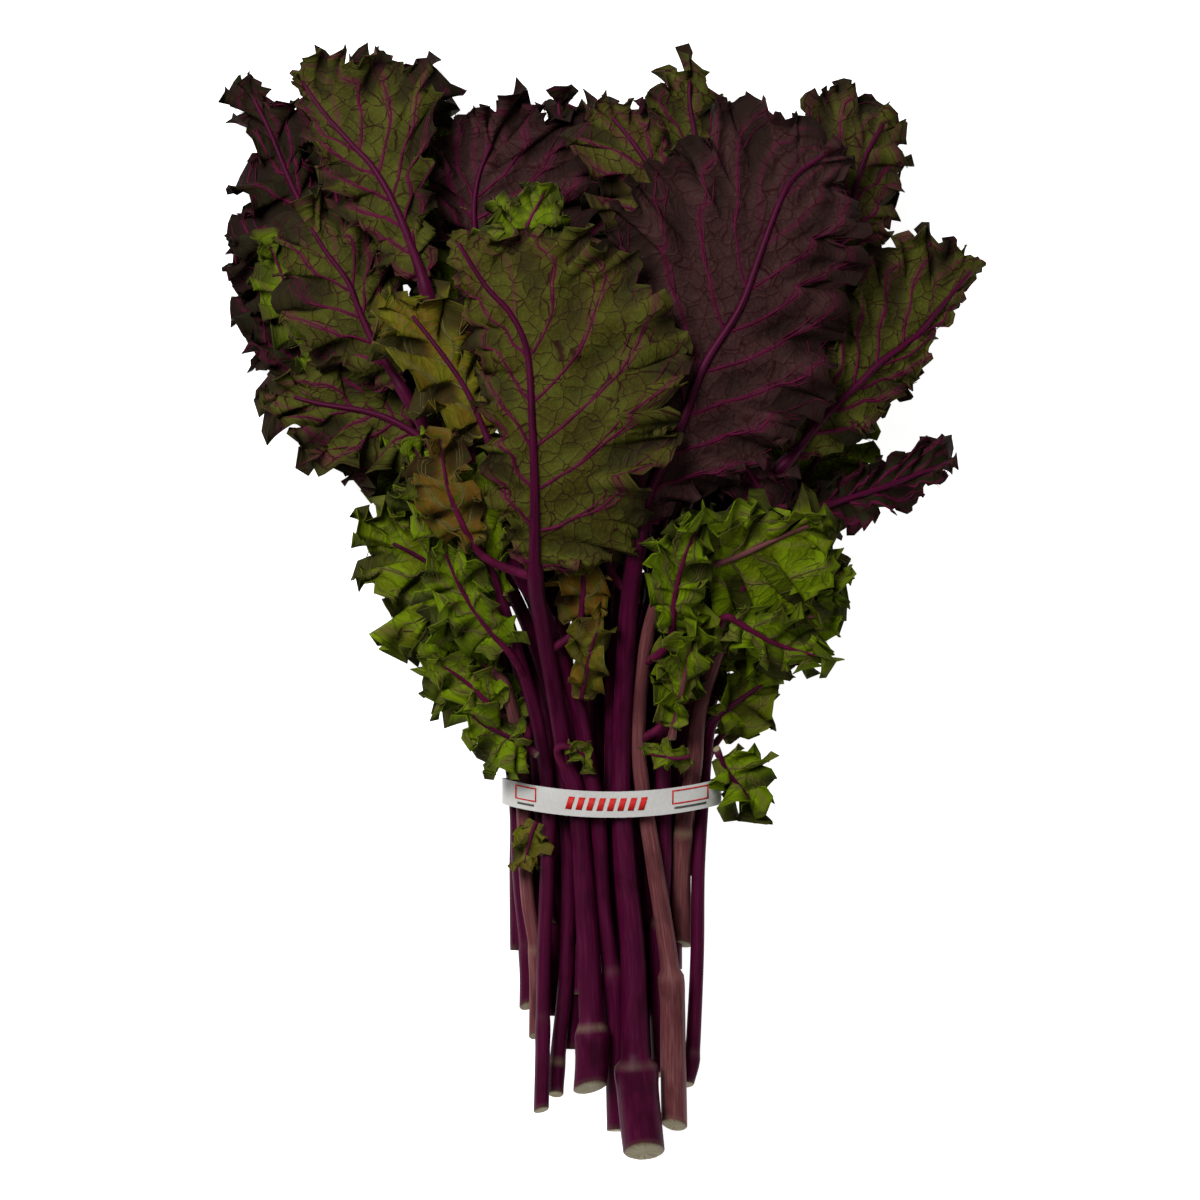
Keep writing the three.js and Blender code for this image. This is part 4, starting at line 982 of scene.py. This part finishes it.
def blade_piece(leaf, sizes, material):
    """The blade: rows from the midrib to the margin, columns down one side and back up the other."""
    u = np.linspace(0, 1, 200)
    width = max(leaf.sheet(side, u, 1.0)[3].max() for side in (1, -1))
    spacing = sizes.spacing / MM
    rows = int(np.clip(width / spacing / 1.5, 9, 34))
    s = (1 - (1 - np.linspace(0, 1, rows + 1)) ** 1.55)[:, None]
    halves = []
    for side in (1, -1):
        margin = leaf.margins[side]
        u = np.linspace(0, 1, max(16, int(margin.total / spacing)) + 1)[None, :]
        x, y, z, near, fold = leaf.surface(side, u, s, ROOM)
        px, py, _, _, _, _ = leaf.sheet(side, *np.broadcast_arrays(u, s))
        rim = np.broadcast_to(smooth(0.7, 1.0, s), x.shape)
        halves.append(np.stack([x, y, z, near, rim, fold, px, py], -1))
    both = np.concatenate([halves[0], halves[1][:, -2::-1]], 1)
    marks = {
        "near_vein": both[..., 3],
        "rim": both[..., 4],
        # Where the blade dips, for the painted shade in the troughs of its folds.
        "fold": both[..., 5],
        "purple": np.full(both.shape[:2], leaf.look["purple"]),
        "dry": np.full(both.shape[:2], leaf.look["dry"]),
    }
    uv = both[..., 6:8] / 100 + leaf.swirl[2:4] * 5
    piece = grid_piece(leaf.name + "_leaf", both[..., :3], marks=marks, uv=uv)
    face_out(piece)
    thicken(piece, sizes.thickness, 0.0)
    node = None if leaf in FILLERS else leaf.name + "_blade" if leaf.radii else leaf.name
    settle(piece, material, node)
    return piece


def vein_paths(leaf):
    """Lines of the side veins and their forks, as places and radii."""
    paths = []
    for side in (1, -1):
        margin = leaf.margins[side]
        for k in range(leaf.look["veins"]):
            s = np.linspace(0, 0.93, 15)
            u = leaf.vein_path(k, s)
            start = 0.95 * (1 - 0.09 * k) * min(1, margin.total / 110)
            paths.append((side, u, s, start * (1 - 0.85 * s) + 0.1))
            for at, turn in VEIN_FORKS:
                f = np.linspace(0, 1, 8)
                fs = at + (0.97 - at) * f
                fu = leaf.vein_path(k, fs) + turn * 0.42 * (1 - at) * f / leaf.look["veins"]
                paths.append((side, fu, fs, (start * (1 - 0.85 * at) * 0.72) * (1 - 0.8 * f) + 0.08))
    return paths


def vein_piece(leaf, sizes, material):
    """The side veins, half sunk in the face that shows: curves with a round section, made a mesh."""
    curve = bpy.data.curves.new(leaf.name + "_veins", "CURVE")
    curve.dimensions = "3D"
    curve.bevel_depth = MM
    curve.bevel_resolution = 1
    curve.use_fill_caps = True
    for side, u, s, radius in vein_paths(leaf):
        kept = (u > 0.01) & (u < 0.985)
        if kept.sum() < 4:
            continue
        x, y, z, _, _ = leaf.surface(side, u[kept], s[kept], ROOM)
        places = (np.stack([x, y, z + 0.16], -1) + SHIFT) * MM
        spline = curve.splines.new("POLY")
        spline.points.add(len(places) - 1)
        spline.points.foreach_set("co", np.column_stack([places, np.ones(len(places))]).ravel())
        spline.points.foreach_set("radius", (radius[kept] * sizes.vein_scale))
    piece = bpy.data.objects.new(leaf.name + "_veins", curve)
    bpy.context.collection.objects.link(piece)
    choose(piece)
    bpy.ops.object.convert(target="MESH")
    piece = bpy.context.object
    bpy.ops.object.shade_smooth()
    settle(piece, material)
    return piece


def stem_piece(leaf, sizes, material):
    """The stalk, its petiole and the midrib, with a pale cut end."""
    places, d, r, pale, centre, along, ring = leaf.stem_rings(sizes.ring_step / MM, sizes.sides)
    draw = np.random.default_rng(leaf.seed)
    rough = draw.uniform(-0.12, 0.12, places.shape[1])
    angle = 2 * math.pi * np.arange(places.shape[1]) / places.shape[1]
    first = []
    for inset in (0.03, 0.3, 0.66, 0.92):
        level = leaf.slant(angle, inset) + rough * r[0] * inset * (1 - inset)
        first.append(centre[0] + ring[0] * r[0] * inset + along[0] * level[:, None])
    last = [centre[-1] + along[-1] * 0.35 + ring[-1] * 0.45, centre[-1] + along[-1] * 0.5 + ring[-1] * 0.05]
    edge = places[0] + along[0] * 0.4
    rows = np.concatenate([np.stack(first + [edge]), places[1:], np.stack(last)])
    length = np.concatenate([[-2, -1.5, -1, -0.5, 0.5], d[1:], [d[-1] + 0.4, d[-1] + 0.6]])
    white = np.concatenate([[1, 1, 0.95, 0.8, 0.1], pale[1:], [0, 0]])
    around = np.arange(places.shape[1] + 1) / places.shape[1]
    turn = np.broadcast_to(around[None, :], (len(rows), len(around)))
    way = np.broadcast_to(length[:, None] / 100, turn.shape)
    uv = np.stack([turn * 0.3 + leaf.swirl[3], way], -1)
    shown = np.broadcast_to(white[:, None], rows.shape[:2])
    piece = grid_piece(leaf.name + "_stalk", rows, wrap=True, marks={"pale": shown}, uv=uv)
    face_out(piece, close=True)
    settle(piece, material, leaf.name + "_stem")
    return piece


def stem_beside(place):
    """The nearest place on the middle of a stem, 12 to 60 mm nearer to the cut ends."""
    best = None
    for leaf in BIG_LEAVES:
        d = np.linspace(leaf.total * 0.2, leaf.base, 60)
        x, y = leaf.midline.at(d)
        centre = np.stack([x, y, pile_top(x, y) * leaf.level(d)], -1)
        centre = centre[(y < place[1] - 12) & (y > place[1] - 60)]
        if len(centre):
            apart = np.linalg.norm(centre - place, axis=1)
            if best is None or apart.min() < best[0]:
                best = (apart.min(), centre[apart.argmin()])
    return best[1]


def tube(centre, r, sides):
    """Rings round a line of places, each with its radius."""
    ring, _, _ = circles(centre, sides)
    return centre[:, None] + ring * np.reshape(r, (-1, 1, 1))


def back_stem_piece(number, given, sizes, material):
    """A stem that shows only between the others, with a pale cut end."""
    top, held, foot, end, height, r = given
    middle = ((foot + held) / 2, (end + TIE_Y) / 2)
    over_tie = (mix(held, top, 0.4), mix(TIE_Y, BACK_TOP, 0.5))
    line = Line(((foot, end), middle, (held, TIE_Y), over_tie, (top, BACK_TOP)))
    d = np.linspace(0, line.total - 0.5, int(line.total / (sizes.ring_step / MM)))
    x, y = line.at(d)
    z = mix(max(r + 0.6, height - BACK_STEM_DROP), height, smooth(end, TIE_Y, y))
    body = tube(np.stack([x, y, z], -1), r * (1 + BACK_STEM_FLARE * smooth(TIE_Y, end, y)), sizes.sides)
    cut = [mix(body[0].mean(0), body[0], inset) for inset in (0.03, 0.5, 0.9)]
    rows = np.concatenate([np.stack(cut), body])
    pale = np.concatenate([[1, 1, 0.9, 0.15], np.zeros(len(body) - 1)])
    way = np.concatenate([[-2, -1.5, -1], d]) / 100
    turn = np.arange(body.shape[1] + 1) / body.shape[1] * 0.3 + number * 0.37
    uv = np.stack(np.broadcast_arrays(turn[None, :], way[:, None]), -1)
    shown = np.broadcast_to(pale[:, None], rows.shape[:2])
    piece = grid_piece(f"back_stem_{number:02d}", rows, wrap=True, marks={"pale": shown}, uv=uv)
    face_out(piece, close=True)
    settle(piece, material)
    return piece


def rib_piece(leaf, material):
    """The midrib of a small leaf, and for a filler the stalk that joins it to the nearest stem."""
    d = np.linspace(0, leaf.total, 24)
    x, y = leaf.midline.at(d)
    z = pile_top(x, y) * leaf.level(d) + 0.25
    centre = np.stack([x, y, z], -1)
    r = mix(1.0, 0.35, d / leaf.total)
    if leaf in FILLERS:
        r = mix(1.5, 0.4, d / leaf.total)
        stem = stem_beside(centre[0])
        back = centre[0] - (centre[1] - centre[0]) / np.linalg.norm(centre[1] - centre[0]) * 9
        t = np.linspace(0, 1, 12)[:-1, None]
        stalk = (1 - t) ** 2 * stem + 2 * t * (1 - t) * back + t * t * centre[0]
        centre = np.concatenate([stalk, centre])
        r = np.concatenate([mix(2.0, 1.5, t[:, 0]), r])
    piece = grid_piece(leaf.name + "_rib", tube(centre, r, RIB_SIDES), wrap=True)
    face_out(piece, close=True)
    settle(piece, material)
    return piece


class Shade:
    """A material under construction: its nodes, and short ways to add and join them."""

    def __init__(self, name):
        self.material = bpy.data.materials.new(name)
        self.material.use_nodes = True
        self.nodes = self.material.node_tree.nodes
        self.links = self.material.node_tree.links
        self.shader = self.nodes["Principled BSDF"]

    def join(self, value, socket):
        if isinstance(value, bpy.types.NodeSocket):
            self.links.new(value, socket)
        else:
            socket.default_value = value

    def add(self, kind, inputs=None, **settings):
        node = self.nodes.new(kind)
        for key, value in settings.items():
            setattr(node, key, value)
        for key, value in (inputs or {}).items():
            self.join(value, node.inputs[key])
        return node

    def attribute(self, name):
        return self.add("ShaderNodeAttribute", attribute_name=name).outputs["Fac"]

    def math(self, operation, a, b=0.0):
        node = self.add("ShaderNodeMath", operation=operation, use_clamp=True)
        self.join(a, node.inputs[0])
        self.join(b, node.inputs[1])
        return node.outputs[0]

    def ramp(self, value, low, high, start=0.0, end=1.0):
        node = self.add("ShaderNodeMapRange", interpolation_type="SMOOTHSTEP")
        self.join(value, node.inputs["Value"])
        ends = {"From Min": low, "From Max": high, "To Min": start, "To Max": end}
        for key, number in ends.items():
            self.join(number, node.inputs[key])
        return node.outputs["Result"]

    def blend(self, share, a, b):
        node = self.add("ShaderNodeMix", data_type="RGBA")
        self.join(share, node.inputs[0])
        self.join(a, node.inputs[6])
        self.join(b, node.inputs[7])
        return node.outputs[2]

    def uv(self, scale=(1.0, 1.0, 1.0)):
        place = self.add("ShaderNodeUVMap", uv_map="UVMap").outputs["UV"]
        return self.add("ShaderNodeMapping", {"Vector": place, "Scale": scale}).outputs["Vector"]

    def noise(self, where, scale, detail=3.0, rough=0.55):
        inputs = {"Vector": where, "Scale": scale, "Detail": detail, "Roughness": rough}
        return self.add("ShaderNodeTexNoise", inputs).outputs["Fac"]

    def bump(self, height, strength, distance, normal=None):
        inputs = {"Height": height, "Strength": strength, "Distance": distance}
        if normal is not None:
            inputs["Normal"] = normal
        return self.add("ShaderNodeBump", inputs).outputs["Normal"]

    def done(self, colour, normal, settings):
        self.links.new(colour, self.shader.inputs["Base Color"])
        self.links.new(normal, self.shader.inputs["Normal"])
        for key, value in settings.items():
            self.shader.inputs[key].default_value = value
        return self.material


def rgba(colour, share=1.0):
    return (colour[0] * share, colour[1] * share, colour[2] * share, 1.0)


def blade_material(name, skin, colours):
    """A leaf's skin: a net of fine dark veins, puckered between, purple by the veins and the margin, with
    painted shade along the curled margin and in the troughs of its folds.
    """
    shade = Shade(name)
    place = shade.uv()
    wander = shade.add("ShaderNodeTexNoise", {"Vector": place, "Scale": 14.0, "Detail": 2.0}).outputs["Color"]
    pushed = shade.add("ShaderNodeVectorMath", {0: wander, 1: (0.05, 0.05, 0.0)}, operation="MULTIPLY")
    moved = shade.add("ShaderNodeVectorMath", {0: place, 1: pushed.outputs[0]}, operation="ADD").outputs[0]
    distances = []
    for scale in NET_SCALES:
        inputs = {"Vector": moved, "Scale": scale, "Randomness": 0.95}
        cells = shade.add("ShaderNodeTexVoronoi", inputs, feature="DISTANCE_TO_EDGE")
        distances.append(cells.outputs["Distance"])
    broad = shade.noise(place, 7.0, 4.0)
    other = shade.noise(shade.uv((1.7, 1.3, 1.0)), 4.0, 3.0)
    fine = shade.noise(place, 70.0, 4.0)
    colour = shade.blend(shade.ramp(broad, 0.36, 0.66), rgba(skin), rgba(skin, 0.55))
    lean = shade.math("MULTIPLY", shade.attribute("purple"), shade.ramp(other, 0.3, 0.6, 0.45, 1.35))
    colour = shade.blend(lean, colour, rgba(colours["bloom"]))
    dried = shade.math("MULTIPLY", shade.attribute("dry"), shade.ramp(broad, 0.42, 0.6, 0.25, 1.3))
    colour = shade.blend(dried, colour, rgba(colours["dry"]))
    colour = shade.blend(shade.ramp(fine, 0.45, 0.75, 0.0, 0.35), colour, rgba(skin, 1.5))
    near = shade.ramp(shade.attribute("near_vein"), 0.3, 2.6, 0.5, 0.0)
    colour = shade.blend(near, colour, rgba(colours["vein"]))
    # The band along the margin darkens to the rim colour: partly the margin's own deeper purple, partly
    # painted shade of its curled frills.
    edge = shade.math("MULTIPLY", shade.attribute("rim"), shade.ramp(other, 0.3, 0.62, 0.2, 1.0))
    edge = shade.math("MULTIPLY", edge, shade.ramp(shade.attribute("purple"), 0.0, 0.5, 0.15, 1.0))
    colour = shade.blend(edge, colour, rgba(colours["rim"]))
    colour = shade.blend(shade.ramp(distances[0], 0.004, 0.04, 0.9, 0.0), colour, rgba(colours["net"]))
    colour = shade.blend(shade.ramp(distances[1], 0.0, 0.05, 0.3, 0.0), colour, rgba(colours["net"]))
    # Painted shade: where the blade dips into the troughs of its frills and folds, it is darkened towards the
    # near-black rim colour.
    fold = shade.ramp(shade.attribute("fold"), 0.0, 1.0, 0.78, 0.0)
    colour = shade.blend(fold, colour, rgba(colours["rim"]))
    bulges = shade.math("MULTIPLY", shade.ramp(distances[0], 0.0, 0.25), 0.7)
    puckers = shade.math("MULTIPLY", shade.ramp(distances[1], 0.0, 0.3), 0.3)
    valley = shade.math("SUBTRACT", 1.0, shade.math("ADD", bulges, puckers))
    normal = shade.bump(valley, 0.5, 0.0008)
    normal = shade.bump(fine, 0.3, 0.0004, normal)
    settings = {"Roughness": 0.7, "Specular IOR Level": 0.03}
    return shade.done(colour, normal, settings)


def stem_material(name, skin, light, colours):
    """A stem's skin: smooth and waxy, with faint fibres along it and pale cut ends and scars."""
    shade = Shade(name)
    fibres = shade.noise(shade.uv((90.0, 5.0, 1.0)), 1.0, 3.0)
    cloud = shade.noise(shade.uv((9.0, 4.0, 1.0)), 1.0, 3.0)
    specks = shade.noise(shade.uv((120.0, 45.0, 1.0)), 1.0, 2.0)
    colour = shade.blend(shade.ramp(fibres, 0.4, 0.75, 0.0, 0.7), rgba(skin), rgba(light))
    colour = shade.blend(shade.ramp(cloud, 0.46, 0.7, 0.0, 0.75), colour, rgba(skin, 0.5))
    colour = shade.blend(shade.ramp(specks, 0.7, 0.77, 0.0, 0.5), colour, rgba(light, 1.4))
    cut = shade.blend(shade.ramp(fibres, 0.35, 0.65), rgba(colours["cut"]), rgba(colours["cut"], 0.55))
    colour = shade.blend(shade.attribute("pale"), colour, cut)
    normal = shade.bump(fibres, 0.3, 0.0004)
    settings = {"Roughness": 0.45, "Specular IOR Level": 0.07}
    return shade.done(colour, normal, settings)


def vein_material(name, skin):
    """A side vein's skin: the stem's colour, a little darker and duller."""
    shade = Shade(name)
    where = shade.add("ShaderNodeTexCoord").outputs["Object"]
    cloud = shade.noise(where, 160.0, 3.0)
    colour = shade.blend(shade.ramp(cloud, 0.35, 0.65), rgba(skin), rgba(skin, 0.6))
    settings = {"Roughness": 0.6, "Specular IOR Level": 0.06}
    return shade.done(colour, shade.bump(cloud, 0.3, 0.0003), settings)


def plain_material(name, colour, roughness, scale, dim=0.93, glow=0.0):
    """Paper, ink and floor: one colour with a fine grain."""
    shade = Shade(name)
    where = shade.add("ShaderNodeTexCoord").outputs["Object"]
    grain = shade.noise(where, scale, 3.0)
    mixed = shade.blend(shade.ramp(grain, 0.3, 0.7), rgba(colour), rgba(colour, dim))
    settings = {"Roughness": roughness, "Specular IOR Level": 0.2}
    if glow:
        settings["Emission Color"] = rgba(colour)
        settings["Emission Strength"] = glow
    return shade.done(mixed, shade.bump(grain, 0.15, 0.0002), settings)


def colour_prop(name, description, default):
    return bpy.props.FloatVectorProperty(
        name=name, description=description, default=default, subtype="COLOR", size=3, min=0.0, max=1.0
    )


def number_prop(name, description, default, **more):
    return bpy.props.FloatProperty(name=name, description=description, default=default, **more)


def length_prop(name, description, default):
    more = dict(min=0.0, subtype="DISTANCE", unit="LENGTH", precision=5)
    return number_prop(name, description, default, **more)


class KaleStemSettings(bpy.types.PropertyGroup):
    """Sizes and colours of the stems."""

    ring_step: length_prop("Ring step", "Distance between two rings of a stem", 0.0032)
    sides: bpy.props.IntProperty(name="Sides", description="Faces round a stem", default=20, min=8)
    purple: colour_prop("Purple", "Colour of most of the stems", (0.054, 0.0018, 0.02))
    purple_light: colour_prop("Purple light", "Lighter streaks on them", (0.095, 0.007, 0.038))
    rose: colour_prop("Rose", "Colour of the paler stems", (0.12, 0.032, 0.037))
    rose_light: colour_prop("Rose light", "Lighter streaks on them", (0.22, 0.09, 0.085))
    cut: colour_prop("Cut end", "Colour of the cut ends and scars", (0.42, 0.36, 0.2))


class KaleBladeSettings(bpy.types.PropertyGroup):
    """Sizes and colours of the blades."""

    spacing: length_prop("Spacing", "Distance between two points of a margin", 0.0014)
    thickness: length_prop("Thickness", "Thickness of a blade", 0.00045)
    vein_scale: number_prop("Vein scale", "How thick the side veins are", 0.85, min=0.1)
    olive: colour_prop("Olive", "Colour of the large leaves' faces", (0.07, 0.077, 0.009))
    dusk: colour_prop("Dusk", "Colour of the grey purple leaves", (0.06, 0.029, 0.026))
    green: colour_prop("Green", "Colour of the fresh green leaves", (0.135, 0.205, 0.003))
    dark: colour_prop("Dark", "Colour of the dark leaves at the back", (0.016, 0.017, 0.006))
    yellowing: colour_prop("Yellowing", "Colour of the leaves that turn yellow", (0.12, 0.12, 0.008))
    bloom: colour_prop("Bloom", "Purple that the leaves lean to", (0.034, 0.014, 0.014))
    vein: colour_prop("Vein", "Colour of the side veins", (0.105, 0.006, 0.036))
    net: colour_prop("Net", "Colour of the net of fine veins", (0.022, 0.004, 0.005))
    fresh_vein: colour_prop("Fresh vein", "Colour of the side veins of green leaves", (0.11, 0.09, 0.025))
    fresh_net: colour_prop("Fresh net", "Colour of their net of fine veins", (0.05, 0.07, 0.003))
    # Near-black: the margin's own dark purple, and also painted shade along the curled margin and in the
    # troughs of the folds.
    rim: colour_prop("Rim", "Colour of the frilled margin", (0.014, 0.008, 0.006))
    dry: colour_prop("Dry", "Colour of dried patches", (0.12, 0.06, 0.007))


class KaleTieSettings(bpy.types.PropertyGroup):
    """Sizes and colours of the paper tie."""

    thickness: length_prop("Thickness", "Thickness of the paper", 0.0008)
    lift: length_prop("Print lift", "Height of the printed marks over the paper", 0.00018)
    paper: colour_prop("Paper", "Colour of the paper", (0.593, 0.585, 0.562))
    red: colour_prop("Red", "Colour of the printed bars and frames", (0.62, 0.02, 0.015))
    grey: colour_prop("Grey", "Colour of the thin printed lines", (0.09, 0.085, 0.08))


class KaleStageSettings(bpy.types.PropertyGroup):
    """The floor, the lights and the camera."""

    camera_height: length_prop("Camera height", "Height of the camera over the table", 2.15)
    lens: number_prop("Lens", "Focal length of the camera", 150.0, min=1.0, subtype="DISTANCE_CAMERA")
    floor: colour_prop("Floor", "Colour of the floor", (0.93, 0.93, 0.93))
    light: number_prop("Light", "Power of the lamp at the upper left", 44.0, min=0.0, subtype="POWER")
    fill: number_prop("Fill", "Power of the lamp at the lower right", 5.0, min=0.0, subtype="POWER")
    sky: number_prop("Sky", "Strength of the light all round", 0.04, min=0.0)
    glow: number_prop("Floor glow", "Light that the floor gives off, which keeps shadows pale", 1.0, min=0.0)


def blade_colours(sizes, tint):
    """The colours that a blade's skin mixes, with paler veins on the fresh leaves."""
    colours = {key: getattr(sizes, key) for key in ("bloom", "vein", "net", "rim", "dry")}
    if tint in FRESH_TINTS:
        colours["vein"] = sizes.fresh_vein
        colours["net"] = sizes.fresh_net
    return colours


class KALE_OT_stems(bpy.types.Operator):
    """Add the stems, each with its midrib"""

    bl_idname = "kale.stems"
    bl_label = "Stems"

    def execute(self, context):
        sizes = context.scene.kale_stems
        colours = {"cut": sizes.cut}
        materials = {
            "purple": stem_material("Purple stem", sizes.purple, sizes.purple_light, colours),
            "rose": stem_material("Rose stem", sizes.rose, sizes.rose_light, colours),
        }
        for leaf in BIG_LEAVES:
            stem_piece(leaf, sizes, materials[leaf.stem])
        for number, given in enumerate(BACK_STEMS, 1):
            back_stem_piece(number, given, sizes, materials["purple"])
        return {"FINISHED"}


class KALE_OT_blades(bpy.types.Operator):
    """Add the frilled blades of the large and small leaves"""

    bl_idname = "kale.blades"
    bl_label = "Blades"

    def execute(self, context):
        sizes = context.scene.kale_blades
        materials = {}
        for leaf in LEAF_LINES + FILLERS:
            if leaf.tint not in materials:
                skin = getattr(sizes, leaf.tint)
                colours = blade_colours(sizes, leaf.tint)
                materials[leaf.tint] = blade_material(leaf.tint + " blade", skin, colours)
            blade_piece(leaf, sizes, materials[leaf.tint])
        return {"FINISHED"}


class KALE_OT_veins(bpy.types.Operator):
    """Add the side veins, and the midribs of the small leaves"""

    bl_idname = "kale.veins"
    bl_label = "Veins"

    def execute(self, context):
        sizes = context.scene.kale_blades
        purple = vein_material("Side veins", sizes.vein)
        fresh = vein_material("Fresh side veins", sizes.fresh_vein)
        for leaf in LEAF_LINES + FILLERS:
            vein_piece(leaf, sizes, fresh if leaf.tint in FRESH_TINTS else purple)
        for leaf in SMALL_LEAVES + FILLERS:
            rib_piece(leaf, purple)
        return {"FINISHED"}


def tie_crease(x, across, z):
    """How far the paper stands off its plain form where it is creased over the stems."""
    return 0.14 * np.sin(x / 5.3) * np.sin(across * 0.5 + 1) * smooth(20, 30, z)


def tie_top(x, across, lift):
    """A place on the tie's outer face, above the stems: x from its middle, across its width."""
    half = BUNDLE_HEIGHT / 2 + TIE_THICKNESS + lift
    share = np.clip(np.abs(x) / (TIE_HALF_WIDTH + TIE_THICKNESS + lift), 0, 0.999)
    z = BUNDLE_HEIGHT / 2 + half * (1 - share**TIE_ROUNDNESS) ** (1 / TIE_ROUNDNESS)
    return TIE_MIDDLE_X + x, TIE_MIDDLE_Y + TIE_BOW * x * x + across, z + tie_crease(x, across, z)


PRINT_THICKNESS = 0.00004
BARS = 8
BAR_START = -19
BAR_STEP = 4.4
BAR_WIDTH = 2.6


def print_mark(name, x_range, y_range, lean, material, lift):
    """A thin printed patch that follows the tie."""
    u, v = np.meshgrid(np.linspace(*x_range, 12), np.linspace(*y_range, 3))
    x, y, z = tie_top(u + lean * v, v, lift)
    piece = grid_piece(name, np.stack([x, y, z], -1))
    thicken(piece, PRINT_THICKNESS, -1.0)
    settle(piece, material)


class KALE_OT_tie(bpy.types.Operator):
    """Add the paper tie with its plain printed marks"""

    bl_idname = "kale.tie"
    bl_label = "Tie"

    def execute(self, context):
        sizes = context.scene.kale_tie
        paper = plain_material("Paper", sizes.paper, 0.45, 700.0)
        red = plain_material("Red print", sizes.red, 0.5, 900.0, 0.8)
        grey = plain_material("Grey print", sizes.grey, 0.5, 900.0, 0.7)
        half = TIE_WIDTH / 2
        section = [(-half, 0.0), (-half, 1.0)]
        section += [(across, 1.0) for across in np.linspace(-half + 0.15, half - 0.15, 7)]
        section += [(half, 1.0), (half, 0.0)]
        section += [(across, 0.0) for across in np.linspace(half - 0.15, -half + 0.15, 7)]
        rings = []
        for across, share in section:
            x, z = tie_outline(share * sizes.thickness / MM, 144)
            low = TIE_THICKNESS * (1 - share)
            y = TIE_MIDDLE_Y + TIE_BOW * x * x + across
            rings.append(np.stack([TIE_MIDDLE_X + x, y, np.maximum(z + tie_crease(x, across, z), low)], -1))
        rings = np.stack(rings + rings[:1])
        piece = grid_piece("tie_strap", rings, wrap=True)
        face_out(piece)
        choose(piece)
        bpy.ops.object.shade_smooth_by_angle(angle=math.radians(40))
        settle(piece, paper, "tie")
        lift = sizes.lift / MM
        for k in range(BARS):
            x = BAR_START + BAR_STEP * k
            print_mark("bar_%d" % (k + 1), (x, x + BAR_WIDTH), (-2.7, 2.7), 0.3, red, lift)
        frames = (("left", -41.0, -32.0), ("right", 25.5, 41.0))
        for side, start, end in frames:
            print_mark("frame_%s_low" % side, (start, end), (-1.6, -1.0), 0.0, red, lift)
            print_mark("frame_%s_high" % side, (start, end), (3.8, 4.4), 0.0, red, lift)
            print_mark("frame_%s_start" % side, (start, start + 0.6), (-1.0, 3.8), 0.0, red, lift)
            print_mark("frame_%s_end" % side, (end - 0.6, end), (-1.0, 3.8), 0.0, red, lift)
            print_mark("line_%s" % side, (start + 1, end - 1), (-3.6, -2.7), 0.0, grey, lift)
        return {"FINISHED"}


class KALE_OT_stage(bpy.types.Operator):
    """Add the floor, the lights and the camera"""

    bl_idname = "kale.stage"
    bl_label = "Stage"

    def execute(self, context):
        stage = context.scene.kale_stage
        deselect()
        bpy.ops.mesh.primitive_plane_add(size=8, location=(0, 0, -0.0004))
        floor = bpy.context.object
        floor.name = "Floor"
        bpy.ops.object.transform_apply(location=True)
        floor.data.materials.append(plain_material("Floor", stage.floor, 0.8, 40.0, 0.99, stage.glow))

        lamps = (
            ("Lamp_left", stage.light, 1.0, (-0.8, 0.9, 1.6)),
            ("Lamp_right", stage.fill, 1.4, (1.0, -0.8, 1.5)),
        )
        for name, power, size, place in lamps:
            bpy.ops.object.light_add(type="AREA", location=place)
            lamp = bpy.context.object
            lamp.name = name
            lamp.data.energy = power
            lamp.data.size = size
            lamp.rotation_euler = Vector(place).to_track_quat("Z", "Y").to_euler()
        world = context.scene.world or bpy.data.worlds.new("World")
        context.scene.world = world
        world.use_nodes = True
        sky = world.node_tree.nodes["Background"]
        sky.inputs["Color"].default_value = (1.0, 1.0, 1.0, 1.0)
        sky.inputs["Strength"].default_value = stage.sky

        bpy.ops.object.camera_add(location=(0.0, 0.0, stage.camera_height), rotation=(0.0, 0.0, 0.0))
        camera = bpy.context.object
        camera.name = "Camera"
        camera.data.lens = stage.lens
        camera.data.sensor_width = 36.0
        camera.data.clip_start = 0.05
        camera.location.x = SHIFT[0] * MM
        camera.location.y = SHIFT[1] * MM
        context.scene.camera = camera
        context.scene.view_settings.view_transform = "Standard"
        context.scene.view_settings.look = "None"
        return {"FINISHED"}


class KALE_PT_panel(bpy.types.Panel):
    """Steps that build the bunch"""

    bl_idname = "KALE_PT_panel"
    bl_label = "Kale bunch"
    bl_space_type = "VIEW_3D"
    bl_region_type = "UI"
    bl_category = "Kale"

    def draw(self, context):
        for name in ("kale_stems", "kale_blades", "kale_tie", "kale_stage"):
            box = self.layout.box()
            settings = getattr(context.scene, name)
            for key in settings.__annotations__:
                box.prop(settings, key)
        for step in STEPS:
            self.layout.operator(step)


STEPS = ("kale.stems", "kale.blades", "kale.veins", "kale.tie", "kale.stage")
SETTINGS = {
    "kale_stems": KaleStemSettings,
    "kale_blades": KaleBladeSettings,
    "kale_tie": KaleTieSettings,
    "kale_stage": KaleStageSettings,
}
CLASSES = (
    KaleStemSettings,
    KaleBladeSettings,
    KaleTieSettings,
    KaleStageSettings,
    KALE_OT_stems,
    KALE_OT_blades,
    KALE_OT_veins,
    KALE_OT_tie,
    KALE_OT_stage,
    KALE_PT_panel,
)


def register():
    for kind in CLASSES:
        bpy.utils.register_class(kind)
    for name, kind in SETTINGS.items():
        setattr(bpy.types.Scene, name, bpy.props.PointerProperty(type=kind))


def unregister():
    for name in SETTINGS:
        delattr(bpy.types.Scene, name)
    for kind in reversed(CLASSES):
        bpy.utils.unregister_class(kind)


def main():
    register()
    bpy.ops.kale.stems()
    bpy.ops.kale.blades()
    bpy.ops.kale.veins()
    bpy.ops.kale.tie()
    bpy.ops.kale.stage()


if __name__ == "__main__":
    main()
